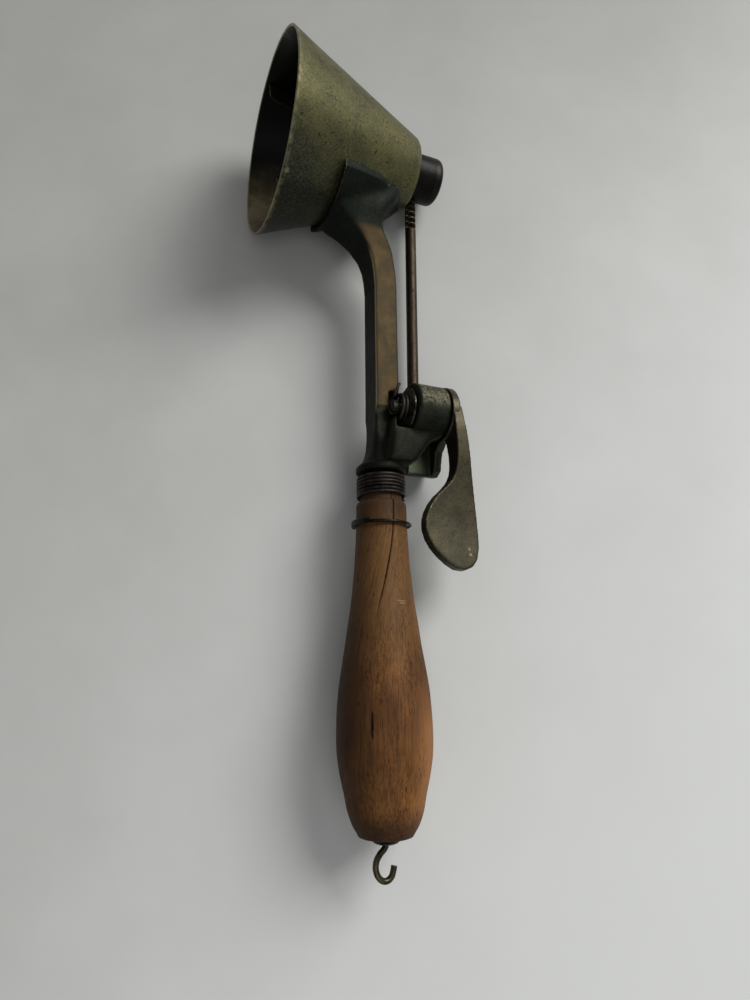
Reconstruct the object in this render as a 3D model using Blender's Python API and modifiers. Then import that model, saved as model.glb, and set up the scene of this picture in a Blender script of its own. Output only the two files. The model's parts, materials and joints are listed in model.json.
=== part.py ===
"""Conical ice-cream disher: a spring lever drives a rack, a pinion and a two-blade scraper.

Everything is modelled about the handle axis: X points to the small end of the bowl, Y away
from the thumb and Z up the handle.  The whole disher then hangs on one empty, which lays it
down on a table on three points: the bowl's rim, the gear cap and the belly of the handle.
"""
import math

import bmesh
import bpy
from mathutils import Matrix, Vector

MM = 0.001
NAME = "cone_disher"
FIT = 0.3            # gap between pieces that touch, mm

# Bowl, mm
BOWL_Z = 192.6       # height of the bowl's axis above the handle's belly
MOUTH_X, MOUTH_R = -38.4, 32.0
BOWL_END_X, SHOULDER_R = 12.3, 2.6
WALL = 0.8
CAP_R, CAP_X0, CAP_X1 = 8.1, BOWL_END_X + FIT, 23.0
CAP_BORE_R, CAP_BORE_X1 = 6.5, 18.1
CAP_FILLET = 1.6
SLOPE = (MOUTH_R - CAP_R) / (CAP_X1 - MOUTH_X) + 0.004

# Scraper, mm
SHAFT_R = 1.5
BLADE_T, BLADE_GAP = 0.8, 0.4
BLADE_ANGLES = {"scraper_blade_a": -16.0, "scraper_blade_b": 164.0}
TEETH, MODULE = 10, 0.75
BACKLASH = 0.3
GEAR_X0, GEAR_X1 = 13.5, 17.3

# Rack rod, mm
ROD_R, ROD_X = 1.9, 15.4
ROD_TOP, RACK_BOTTOM = BOWL_Z + 4.2, BOWL_Z - 19.2
ROD_TAIL = 2.3       # rod below its cross pin
ROD_LEAN = math.radians(0.7)   # the rod's foot stands nearer the arm
PIN_R = 1.1

# Lever, mm
PIVOT_Y, PIVOT_Z = -6.1, 99.0
BARREL_R, BARREL_X0, BARREL_X1 = 8.6, 7.0, 17.8
PIVOT_R = 2.5
HUB_R, HUB_X0, HUB_X1 = 8.8, 18.2, 21.2
LOBE_X0 = 10.0
SLOT_PLAY = 0.5
SPRING_R, SPRING_WIRE, SPRING_TURNS = 4.4, 1.0, 2.25
POCKET_R = 7.4

# Frame and handle, mm
ARM_FRONT_Y, ARM_BACK_Y = -3.5, 6.1
SADDLE_T = 2.0
COLLAR_R, COLLAR_Z0, COLLAR_Z1 = 7.7, 78.7, 81.4
TANG_R, TANG_Z0 = 2.6, 8.0
HANDLE_TOP = 78.3
COIL_R, COIL_WIRE, COIL_TURNS, COIL_Z = 7.1, 0.95, 6.25, 71.1
RING_R, RING_WIRE, RING_Z = 8.6, 1.0, 62.9
HOOK_WIRE = 1.7

PITCH_R = TEETH * MODULE / 2
RACK_PITCH = math.pi * MODULE
ROD_Y = PITCH_R - MODULE + ROD_R              # tooth tips lie on the rod's front
TRAVEL = math.pi * PITCH_R                    # half a turn of the scraper
CRANK_D = ROD_Y - PIVOT_Y
REST_ANGLE = -math.atan(TRAVEL / 2 / CRANK_D)  # crank arm below the horizontal at rest
PIN_Z = PIVOT_Z + CRANK_D * math.tan(REST_ANGLE)
ALONG_X = (0.0, math.pi / 2, 0.0)             # turns a shape about Z into one about X

# Handle outline from the rounded butt to the end under the wire: height, radius
HANDLE = [(-23.5, 6.6), (-23.2, 7.4), (-22.4, 7.9), (-20.0, 9.3), (-16.7, 10.5), (-12.9, 11.3),
          (-9.1, 12.2), (-5.2, 12.95), (-1.0, 13.45), (3.5, 13.55), (9.0, 13.4), (14.8, 12.95),
          (21.0, 12.05), (27.3, 11.05), (33.0, 10.3), (39.0, 9.4), (45.5, 8.7), (52.0, 8.15),
          (60.0, 7.8), (68.6, 7.6), (69.3, 7.3), (69.6, 6.3), (HANDLE_TOP - 0.4, 6.1),
          (HANDLE_TOP, 5.7)]

# Frame arm as sections: height, left, right, front, back, corner.  The foot is measured from the
# handle's belly and the head from the bowl's axis.
ARM_FOOT = [(79.8, -6.8, 6.8, -6.8, 6.8, 6.2), (82.0, -6.0, 7.0, -5.4, 6.2, 4.2),
            (84.5, -4.2, 6.6, -4.4, 6.1, 2.2), (88.0, -3.2, 5.8, -3.7, ARM_BACK_Y, 1.2),
            (94.0, -2.9, 5.4, ARM_FRONT_Y, ARM_BACK_Y, 0.8),
            (104.0, -2.7, 5.4, ARM_FRONT_Y, ARM_BACK_Y, 0.8)]
ARM_HEAD = [(-49.6, -2.7, 5.4, ARM_FRONT_Y, ARM_BACK_Y, 0.8),
            (-44.6, -3.1, 5.2, -3.6, 6.2, 0.9), (-40.6, -3.8, 4.6, -3.9, 6.3, 1.0),
            (-36.6, -5.4, 3.8, -4.4, 6.6, 1.2), (-32.6, -8.5, 2.3, -5.2, 7.2, 1.5),
            (-29.1, -12.6, 0.4, -6.2, 8.2, 1.8), (-26.1, -16.6, -0.4, -7.4, 9.6, 2.2),
            (-22.6, -18.2, 1.2, -9.0, 10.4, 2.6), (-18.6, -18.2, 4.4, -9.6, 10.6, 2.6),
            (-12.1, -18.2, 5.9, -9.4, 10.4, 2.6)]

# Half outline of the saddle pad seen from below: along the bowl, across
SADDLE = [(-18.3, 17.8), (-12.1, 15.8), (-4.5, 12.9), (1.0, 10.3), (5.2, 7.2), (7.9, 4.0),
          (8.8, 0.0)]

# Web from the collar to the lever barrel, seen from the front
GUSSET = [(-1.0, 81.2), (6.8, 81.2), (9.4, 82.4), (11.6, 85.6), (13.4, 88.6), (16.6, 90.6),
          (17.5, 94.0), (16.0, 99.0), (7.0, 101.0), (1.0, 95.0)]

# Thumb lever seen from the front, and its thickness seen from the side
LEVER = [(21.2, 99.0), (22.2, 94.0), (23.2, 90.0), (24.2, 84.5), (24.9, 79.7), (26.0, 72.6),
         (27.0, 65.5), (27.5, 60.0), (27.6, 56.0), (26.9, 52.3), (25.2, 49.9), (22.8, 48.8),
         (19.9, 49.0), (17.3, 50.4), (14.6, 52.5), (12.2, 55.0), (10.5, 57.8), (9.6, 60.6),
         (9.6, 63.2), (10.3, 65.9), (11.6, 68.5), (13.5, 71.0), (16.0, 73.4), (18.1, 75.9),
         (19.3, 78.4), (19.8, 81.5), (19.8, 84.8), (19.4, 88.6), (18.8, 93.0), (18.4, 99.0)]
LEVER_SIDE = [(-14.85, 99.0), (-14.6, 92.0), (-13.6, 84.0), (-12.2, 76.0), (-11.1, 68.0),
              (-10.5, 60.0), (-10.5, 45.0), (-7.0, 45.0), (-7.0, 60.0), (-7.3, 68.0),
              (-7.7, 76.0), (-7.4, 84.0), (-6.6, 92.0), (-5.0, 99.0)]

# Hook wire from its shank to its tip: across, height
HOOK = [(0.0, -16.0), (0.0, -25.4), (-0.6, -26.4), (-1.9, -27.6), (-2.9, -29.2), (-3.1, -31.0),
        (-2.5, -32.8), (-1.2, -34.0), (0.3, -34.1), (1.5, -33.2), (2.0, -31.9), (2.3, -30.6)]


def reset_scene():
    """Empty the scene and make the collections for the parts and the cutters."""
    for ob in list(bpy.data.objects):
        bpy.data.objects.remove(ob, do_unlink=True)
    made = []
    for name in (NAME, NAME + "_cutters"):
        col = bpy.data.collections.new(name)
        bpy.context.scene.collection.children.link(col)
        made.append(col)
    return made


PARTS, CUTTERS = reset_scene()


def material(name, rgb, rough, metal):
    """A Principled material with the piece's own colour."""
    mat = bpy.data.materials.new(name)
    mat.use_nodes = True
    node = mat.node_tree.nodes["Principled BSDF"]
    node.inputs["Base Color"].default_value = (*rgb, 1.0)
    node.inputs["Roughness"].default_value = rough
    node.inputs["Metallic"].default_value = metal
    mat.diffuse_color = (*rgb, 1.0)
    return mat


def empty(name, parent=None, at=(0, 0, 0)):
    """An empty that other pieces hang on."""
    ob = bpy.data.objects.new(name, None)
    ob.empty_display_size = 0.01
    ob.location = Vector(at) * MM
    ob.parent = parent
    PARTS.objects.link(ob)
    return ob


def add(name, data, looks=None, cutter=False):
    """Link a mesh or a curve as a part with its material, or as a cutter."""
    ob = bpy.data.objects.new(name, data)
    if cutter:
        CUTTERS.objects.link(ob)
        ob.hide_render = True
        ob.display_type = "WIRE"
    else:
        PARTS.objects.link(ob)
        if looks:
            data.materials.append(material(name, *looks))
    return ob


def place(ob, parent, at=(0, 0, 0), rot=(0, 0, 0)):
    """Parent a piece and set where it sits under its parent, in mm and radians."""
    ob.parent = parent
    ob.location = Vector(at) * MM
    ob.rotation_euler = rot
    return ob


def shade(ob, angle=35.0):
    """Smooth shading with sharp edges kept."""
    ob.data.shade_smooth()
    ob.data.set_sharp_from_angle(angle=math.radians(angle))


def turned(name, profile, steps=48, looks=None, cutter=False, closed=False):
    """Turn a profile of (radius, height), listed from the top down its outer side, about Z."""
    mesh = bpy.data.meshes.new(name)
    pts = [(r * MM, 0.0, z * MM) for r, z in profile]
    edges = [(i, i + 1) for i in range(len(pts) - 1)]
    if closed:
        edges.append((len(pts) - 1, 0))
    mesh.from_pydata(pts, edges, [])
    ob = add(name, mesh, looks, cutter)
    mod = ob.modifiers.new("turn", "SCREW")
    mod.steps = mod.render_steps = steps
    mod.use_merge_vertices = True
    mod.merge_threshold = 0.00001
    mod.use_smooth_shade = True
    return ob


def ring_profile(r_in, r_out, z0, z1, edge=0.0):
    """Closed section of a ring or sleeve, with its outer edges broken."""
    if edge <= 0:
        return [(r_in, z1), (r_out, z1), (r_out, z0), (r_in, z0)]
    return [(r_in, z1), (r_out - edge, z1), (r_out, z1 - edge), (r_out, z0 + edge),
            (r_out - edge, z0), (r_in, z0)]


def prism(name, outline, z0, z1, looks=None, cutter=False, bevel=0.0):
    """Extrude a flat outline of (x, y) from z0 to z1."""
    curve = bpy.data.curves.new(name, "CURVE")
    curve.dimensions = "2D"
    curve.fill_mode = "BOTH"
    curve.extrude = (z1 - z0) / 2 * MM
    spline = curve.splines.new("POLY")
    spline.points.add(len(outline) - 1)
    for point, (x, y) in zip(spline.points, outline):
        point.co = (x * MM, y * MM, 0.0, 1.0)
    spline.use_cyclic_u = True
    ob = meshed(add(name, curve, looks, cutter))
    for vert in ob.data.vertices:
        vert.co.z += (z0 + z1) / 2 * MM
    if bevel > 0:
        mod = ob.modifiers.new("edges", "BEVEL")
        mod.width = bevel * MM
        mod.segments = 2
        mod.limit_method = "ANGLE"
        mod.angle_limit = math.radians(40)
    return ob


def meshed(ob):
    """Turn a curve object into a closed mesh object with the same name."""
    name, looks = ob.name, [m for m in ob.data.materials]
    cutter = ob.name in CUTTERS.objects
    bpy.context.view_layer.update()
    graph = bpy.context.evaluated_depsgraph_get()
    mesh = bpy.data.meshes.new_from_object(ob.evaluated_get(graph))
    bm = bmesh.new()
    bm.from_mesh(mesh)
    bmesh.ops.remove_doubles(bm, verts=bm.verts, dist=0.00001)
    bmesh.ops.recalc_face_normals(bm, faces=bm.faces)
    bm.to_mesh(mesh)
    bm.free()
    matrix = ob.matrix_world.copy()
    bpy.data.objects.remove(ob, do_unlink=True)
    mesh.name = name
    mesh.materials.clear()
    new = add(name, mesh, None, cutter)
    for mat in looks:
        mesh.materials.append(mat)
    new.matrix_world = matrix
    return new


def smooth_path(points, per=6):
    """Points of a Catmull-Rom curve through the given points."""
    pts = [Vector(p) for p in points]
    ends = [pts[0] * 2 - pts[1]] + pts + [pts[-1] * 2 - pts[-2]]
    out = []
    for i in range(1, len(ends) - 2):
        p0, p1, p2, p3 = ends[i - 1:i + 3]
        for k in range(per):
            t = k / per
            out.append(0.5 * (2 * p1 + (p2 - p0) * t + (2 * p0 - 5 * p1 + 4 * p2 - p3) * t ** 2
                              + (3 * p1 - p0 - 3 * p2 + p3) * t ** 3))
    return out + [pts[-1]]


def wire(name, points, diameter, looks, cyclic=False, sides=1):
    """A round wire along the points, as a closed mesh."""
    curve = bpy.data.curves.new(name, "CURVE")
    curve.dimensions = "3D"
    curve.bevel_depth = diameter / 2 * MM
    curve.bevel_resolution = sides
    curve.use_fill_caps = True
    spline = curve.splines.new("POLY")
    spline.points.add(len(points) - 1)
    for point, co in zip(spline.points, points):
        point.co = (*(Vector(co) * MM), 1.0)
    spline.use_cyclic_u = cyclic
    return meshed(add(name, curve, looks))


def coil_points(radius, pitch, turns, per_turn=24, start=0.0):
    """Points of a coil about Z that starts at height 0."""
    count = int(turns * per_turn)
    return [Vector((radius * math.cos(start + 2 * math.pi * i / per_turn),
                    radius * math.sin(start + 2 * math.pi * i / per_turn),
                    pitch * i / per_turn)) for i in range(count + 1)]


def cut(ob, cutter, how="DIFFERENCE"):
    """Add a Boolean modifier."""
    mod = ob.modifiers.new(how.lower(), "BOOLEAN")
    mod.operation = how
    mod.object = cutter
    mod.solver = "EXACT"
    return mod


def loft(name, sections, looks=None, corner_steps=3):
    """Skin rounded rectangles stacked along Z: (z, x0, x1, y0, y1, corner radius)."""
    bm = bmesh.new()
    rings = []
    for z, x0, x1, y0, y1, rad in sections:
        ring = []
        corners = [(x1 - rad, y1 - rad, 0), (x0 + rad, y1 - rad, 90),
                   (x0 + rad, y0 + rad, 180), (x1 - rad, y0 + rad, 270)]
        for cx, cy, start in corners:
            for k in range(corner_steps + 1):
                ang = math.radians(start + 90.0 * k / corner_steps)
                ring.append(bm.verts.new(Vector((cx + rad * math.cos(ang),
                                                 cy + rad * math.sin(ang), z)) * MM))
        rings.append(ring)
    for low, high in zip(rings, rings[1:]):
        for i, vert in enumerate(low):
            j = (i + 1) % len(low)
            bm.faces.new((vert, low[j], high[j], high[i]))
    bm.faces.new(list(reversed(rings[0])))
    bm.faces.new(rings[-1])
    mesh = bpy.data.meshes.new(name)
    bm.to_mesh(mesh)
    bm.free()
    return add(name, mesh, looks, cutter=looks is None)


def front_prism(name, outline, y0, y1, **kwargs):
    """Extrude an outline of (x, z) from y0 to y1."""
    ob = prism(name, outline, -y1, -y0, **kwargs)
    ob.rotation_euler = (math.pi / 2, 0.0, 0.0)
    return ob


def side_prism(name, outline, x0, x1, **kwargs):
    """Extrude an outline of (y, z) from x0 to x1."""
    ob = prism(name, outline, x0, x1, **kwargs)
    ob.matrix_world = Matrix(((0, 0, 1, 0), (1, 0, 0, 0), (0, 1, 0, 0), (0, 0, 0, 1)))
    return ob


def bowl_radius(x, grow=0.0):
    """Outer radius of the bowl at x, grown along its radius."""
    return MOUTH_R - SLOPE * (x - MOUTH_X) + grow


def arc(cx, cy, rad, a0, a1, steps):
    """Points of an arc, angles in degrees."""
    return [(cx + rad * math.cos(math.radians(a0 + (a1 - a0) * k / steps)),
             cy + rad * math.sin(math.radians(a0 + (a1 - a0) * k / steps)))
            for k in range(steps + 1)]


def bowl_section():
    """Section of the bowl's wall as (radius, x), from the shaft hole round to the inside."""
    lean = math.degrees(math.atan(SLOPE))
    out = []
    for offset, rad in ((0.0, SHOULDER_R), (-WALL, SHOULDER_R - WALL)):
        x_end = BOWL_END_X + offset
        cx = x_end - rad
        wall = offset / math.cos(math.radians(lean))
        cr = bowl_radius(cx) + wall - rad * (1 / math.cos(math.radians(lean)))
        side = arc(cr, cx, rad, 90.0, lean, 4)
        side = [(4.4, x_end)] + side + [(bowl_radius(MOUTH_X) + wall, MOUTH_X)]
        out.append(side)
    outer, inner = out
    return outer + list(reversed(inner))


def make_bowl(base):
    """The cone, its bush, the gear cap and the axis that the scraper turns on."""
    axis = empty("scraper_axis", base, (0, 0, BOWL_Z))
    bowl = turned("cone_bowl", bowl_section(), 64, ((0.30, 0.28, 0.12), 0.42, 0.9), closed=True)
    place(bowl, axis, rot=ALONG_X)
    bush = turned("shaft_bush", [(SHAFT_R + FIT, 13.1), (4.1, 13.1), (4.1, 11.2), (6.2, 11.2),
                                 (6.2, 10.2), (SHAFT_R + FIT, 10.2)], 32,
                  ((0.28, 0.22, 0.10), 0.5, 0.9), closed=True)
    place(bush, axis, rot=ALONG_X)
    cap = turned("gear_cap", [(SHAFT_R + FIT, CAP_X1)]
                 + [(r, x) for r, x in arc(CAP_R - CAP_FILLET, CAP_X1 - CAP_FILLET, CAP_FILLET,
                                           90, 0, 3)]
                 + [(CAP_R, CAP_X0), (CAP_BORE_R, CAP_X0), (CAP_BORE_R, CAP_BORE_X1),
                    (SHAFT_R + FIT, CAP_BORE_X1)], 40,
                 ((0.07, 0.055, 0.045), 0.45, 0.8), closed=True)
    place(cap, axis, rot=ALONG_X)
    reach = turned("rod_bore", [(0, 15), (ROD_R + 0.35, 15), (ROD_R + 0.35, -15), (0, -15)], 32,
                   cutter=True)
    place(reach, axis, (ROD_X, ROD_Y, 0), (0.0, ROD_LEAN, 0.0))
    cut(cap, reach)
    return axis


def gear_outline():
    """Pinion outline about its centre, with a tooth gap facing +Y."""
    tip, root = PITCH_R + MODULE - 0.12, PITCH_R - 1.25 * MODULE
    play = math.degrees(BACKLASH / 2 / PITCH_R)
    pts = []
    for i in range(TEETH):
        mid = (i + 0.5) * 360.0 / TEETH
        for rad, half in ((root, 11.5), (PITCH_R - 0.3, 10.6 - play), (PITCH_R, 9.0 - play),
                          (PITCH_R + 0.35, 6.6 - play), (tip, 4.0 - play)):
            pts.append((rad, mid - half))
        for rad, half in ((tip, 4.0 - play), (PITCH_R + 0.35, 6.6 - play),
                          (PITCH_R, 9.0 - play), (PITCH_R - 0.3, 10.6 - play), (root, 11.5)):
            pts.append((rad, mid + half))
    return [(r * math.cos(math.radians(a)), r * math.sin(math.radians(a))) for r, a in pts]


def make_scraper(axis):
    """Shaft, pinion, hub, two blades and the nuts, all turning about the bowl's axis."""
    brass, steel = ((0.26, 0.20, 0.09), 0.4, 0.95), ((0.16, 0.14, 0.11), 0.4, 0.95)
    shaft = turned("scraper_shaft", [(0, 23.9), (SHAFT_R - 0.3, 23.9), (SHAFT_R, 23.6),
                                     (SHAFT_R, 1.2), (SHAFT_R - 0.3, 0.9), (0, 0.9)], 24, steel)
    place(shaft, axis, rot=ALONG_X)
    nut = turned("shaft_end_nut", ring_profile(SHAFT_R + FIT, 3.1, CAP_X1 + FIT, 24.2, 0.25), 32,
                 ((0.12, 0.10, 0.08), 0.4, 0.9), closed=True)
    place(nut, axis, rot=ALONG_X)
    pinion = side_prism("pinion", gear_outline(), GEAR_X0, GEAR_X1,
                        looks=((0.22, 0.19, 0.12), 0.4, 0.95))
    place(pinion, axis)
    pinion.rotation_euler = Matrix(((0, 0, 1), (1, 0, 0), (0, 1, 0))).to_euler()
    bore = turned("pinion_bore", [(0, 30), (SHAFT_R + 0.25, 30), (SHAFT_R + 0.25, -2), (0, -2)],
                  24, cutter=True)
    place(bore, axis, rot=ALONG_X)
    cut(pinion, bore)
    hub = turned("scraper_hub", ring_profile(SHAFT_R + 0.25, 3.6, 3.2, 9.8, 0.4), 32, brass,
                 closed=True)
    place(hub, axis, rot=ALONG_X)
    tip = turned("hub_nut", ring_profile(SHAFT_R + 0.25, 2.7, 1.3, 2.9, 0.3), 24, steel,
                 closed=True)
    place(tip, axis, rot=ALONG_X)
    inset = (WALL + BLADE_GAP) / math.cos(math.atan(SLOPE))
    outer = [(x, bowl_radius(x) - inset) for x in (MOUTH_X + 1.2, -15.0, 8.0)]
    inner = [(9.2, 9.0), (9.2, 3.9), (3.4, 3.9), (-2.0, 6.4), (-12.0, 11.6), (-26.0, 17.2),
             (MOUTH_X + 3.4, 20.6), (MOUTH_X + 1.2, 22.4)]
    for name, angle in BLADE_ANGLES.items():
        blade = front_prism(name, [(x, -r) for x, r in outer + inner], -BLADE_T / 2, BLADE_T / 2,
                            looks=brass, bevel=0.12)
        place(blade, axis)
        turn = Matrix.Rotation(math.radians(angle), 3, "X")
        blade.rotation_euler = (turn @ Matrix.Rotation(math.pi / 2, 3, "X")).to_euler()


def make_rack(base):
    """The rod with rack teeth at its top and a cross pin near its foot."""
    foot_x = ROD_X - math.tan(ROD_LEAN) * (BOWL_Z - PIN_Z)
    guide = empty("rack_guide", base, (foot_x, ROD_Y, PIN_Z))
    guide.rotation_euler = (0.0, ROD_LEAN, 0.0)
    top, foot = ROD_TOP - PIN_Z, -ROD_TAIL
    rod = turned("rack_rod", [(0, top), (ROD_R - 0.4, top), (ROD_R, top - 0.4),
                              (ROD_R, foot + 0.3), (ROD_R - 0.3, foot), (0, foot)], 24,
                 ((0.24, 0.18, 0.10), 0.35, 0.95))
    place(rod, guide)
    comb = []
    front = -(ROD_Y - (PITCH_R - MODULE))
    deep = front + 2.25 * MODULE
    middle = BOWL_Z - PIN_Z + RACK_PITCH / 2
    flank = math.tan(math.radians(20.0)) * MODULE
    first = math.ceil((RACK_BOTTOM - BOWL_Z) / RACK_PITCH - 0.5)
    last = math.floor((ROD_TOP - BOWL_Z) / RACK_PITCH + 0.4)
    for i in range(first, last):
        z = middle + i * RACK_PITCH
        half = RACK_PITCH / 4 + BACKLASH / 2
        comb += [(front - MODULE, z - half - 2 * flank), (deep, z - half + flank * 1.25),
                 (deep, z + half - flank * 1.25), (front - MODULE, z + half + 2 * flank)]
    lower, upper = comb[0][1] - 1.0, comb[-1][1] + 1.0
    comb = comb + [(front - 2.0, upper), (front - 2.0, lower)]
    gaps = side_prism("rack_gaps", comb, -4, 4, cutter=True)
    place(gaps, guide)
    gaps.rotation_euler = Matrix(((0, 0, 1), (1, 0, 0), (0, 1, 0))).to_euler()
    cut(rod, gaps)
    hole = turned("pin_hole", [(0, 8), (PIN_R + 0.2, 8), (PIN_R + 0.2, -8), (0, -8)], 20,
                  cutter=True)
    place(hole, guide, rot=ALONG_X)
    cut(rod, hole)
    pin = turned("rack_pin", [(0, 3.6), (PIN_R - 0.2, 3.6), (PIN_R, 3.4), (PIN_R, -3.9),
                              (PIN_R - 0.2, -4.1), (0, -4.1)], 20,
                 ((0.18, 0.15, 0.11), 0.4, 0.95))
    place(pin, guide, rot=ALONG_X)


def crank_point(u, v):
    """Lever-plane point (y, z) from the pivot, u along the crank arm and v above it."""
    c, s = math.cos(REST_ANGLE), math.sin(REST_ANGLE)
    return (u * c - v * s, u * s + v * c)


def make_lever(base):
    """Thumb lever with its crank, on the pivot shaft."""
    pivot = empty("lever_pivot", base, (0, PIVOT_Y, PIVOT_Z))
    side = Matrix(((0, 0, 1), (1, 0, 0), (0, 1, 0))).to_euler()
    outline = [(x, z - PIVOT_Z) for x, z in LEVER]
    lever = front_prism("thumb_lever", outline, -20, 10, looks=((0.26, 0.21, 0.12), 0.4, 0.95))
    lever.parent = pivot
    depth = side_prism("lever_side", [(y - PIVOT_Y, z - PIVOT_Z) for y, z in LEVER_SIDE], 0, 40,
                       cutter=True)
    depth.parent = pivot
    cut(lever, depth, "INTERSECT")
    hub = turned("lever_hub", [(0, HUB_X1), (HUB_R - 0.8, HUB_X1), (HUB_R, HUB_X1 - 0.8),
                               (HUB_R, HUB_X0), (0, HUB_X0)], 48, cutter=True)
    place(hub, pivot, rot=ALONG_X)
    cut(lever, hub, "UNION")
    lobe = [crank_point(u, v) for u, v in
            [(0.0, 6.5), (10.0, 4.6), (14.0, 3.6), (16.8, 1.4), (18.6, -2.2), (19.2, -6.4),
             (18.2, -10.4), (15.6, -12.6), (12.6, -12.4), (9.0, -8.0), (0.0, -6.5)]]
    web = side_prism("crank_web", lobe, LOBE_X0, HUB_X1 - 0.3, cutter=True)
    web.parent = pivot
    rear = turned("barrel_room", [(0, HUB_X0), (BARREL_R + 0.5, HUB_X0),
                                  (BARREL_R + 0.5, 5), (0, 5)], 48, cutter=True)
    place(rear, pivot, rot=ALONG_X)
    cut(web, rear)
    flat = side_prism("stop_face", [(-20, -40), (1.5 - PIVOT_Y, -40), (1.5 - PIVOT_Y, 20),
                                    (-20, 20)], 5, HUB_X0 - 0.05, cutter=True)
    flat.parent = pivot
    cut(web, flat)
    foot_x = ROD_X - math.tan(ROD_LEAN) * (BOWL_Z - PIN_Z)
    channel = side_prism("rod_channel", [crank_point(u, v) for u, v in
                                         [(2, -3.5), (15.9, -3.5), (15.9, 12), (2, 12)]],
                         foot_x - ROD_R - 0.5, foot_x + ROD_R + 0.5, cutter=True)
    channel.parent = pivot
    cut(web, channel)
    half = PIN_R + SLOT_PLAY
    slot_end = CRANK_D / math.cos(REST_ANGLE)
    ends = [(slot_end + half * math.cos(math.radians(a)), half * math.sin(math.radians(a)))
            for a in range(-90, 91, 30)]
    slot = side_prism("pin_slot", [crank_point(u, v) for u, v in
                                   [(4, half), (4, -half)] + ends], LOBE_X0 - 1,
                      HUB_X0 - 0.05, cutter=True)
    slot.parent = pivot
    cut(web, slot)
    cut(lever, web, "UNION")
    bore = turned("lever_bore", [(0, 40), (PIVOT_R + FIT, 40), (PIVOT_R + FIT, 12), (0, 12)], 32,
                  cutter=True)
    place(bore, pivot, rot=ALONG_X)
    cut(lever, bore)

    shaft = turned("pivot_shaft", [(0, HUB_X1 - 0.1), (PIVOT_R - 0.4, HUB_X1 - 0.1),
                                   (PIVOT_R, HUB_X1 - 0.5), (PIVOT_R, 1.0), (PIVOT_R - 0.5, 0.5),
                                   (0, 0.5)], 32, ((0.14, 0.13, 0.11), 0.45, 0.9))
    place(shaft, pivot, rot=ALONG_X)
    slit = side_prism("driver_slot", [(-4, -0.45), (4, -0.45), (4, 0.45), (-4, 0.45)], -1, 1.7,
                      cutter=True)
    place(slit, pivot)
    slit.rotation_euler = (Matrix.Rotation(math.radians(60), 3, "X") @ side.to_matrix()).to_euler()
    cut(shaft, slit)
    return pivot


def make_spring(base):
    """Torsion spring and washer on the pivot, beside the barrel."""
    seat = empty("spring_seat", base, (0, PIVOT_Y, PIVOT_Z))
    washer = turned("spring_washer", ring_profile(PIVOT_R + FIT, 6.8, 6.0, 6.7, 0.15), 40,
                    ((0.30, 0.27, 0.20), 0.4, 0.95), closed=True)
    place(washer, seat, rot=ALONG_X)
    pitch = SPRING_WIRE + 0.2
    turns = coil_points(SPRING_R, pitch, SPRING_TURNS, 16, math.radians(0))
    path = [Vector((5.2 - p.z, p.x, p.y)) for p in turns]
    last = path[-1]
    path += [last + Vector((0.1, -0.3, 0.9)), last + Vector((0.9, -0.1, 2.6)),
             last + Vector((1.9, 0.6, 4.4))]
    first, back = path[0], (path[0] - path[1]).normalized()
    path = [first + back * 3.0, first + back * 1.5] + path
    spring = wire("torsion_spring", path, SPRING_WIRE, ((0.13, 0.11, 0.09), 0.45, 0.9),
                  sides=2)
    spring.parent = seat


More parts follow.
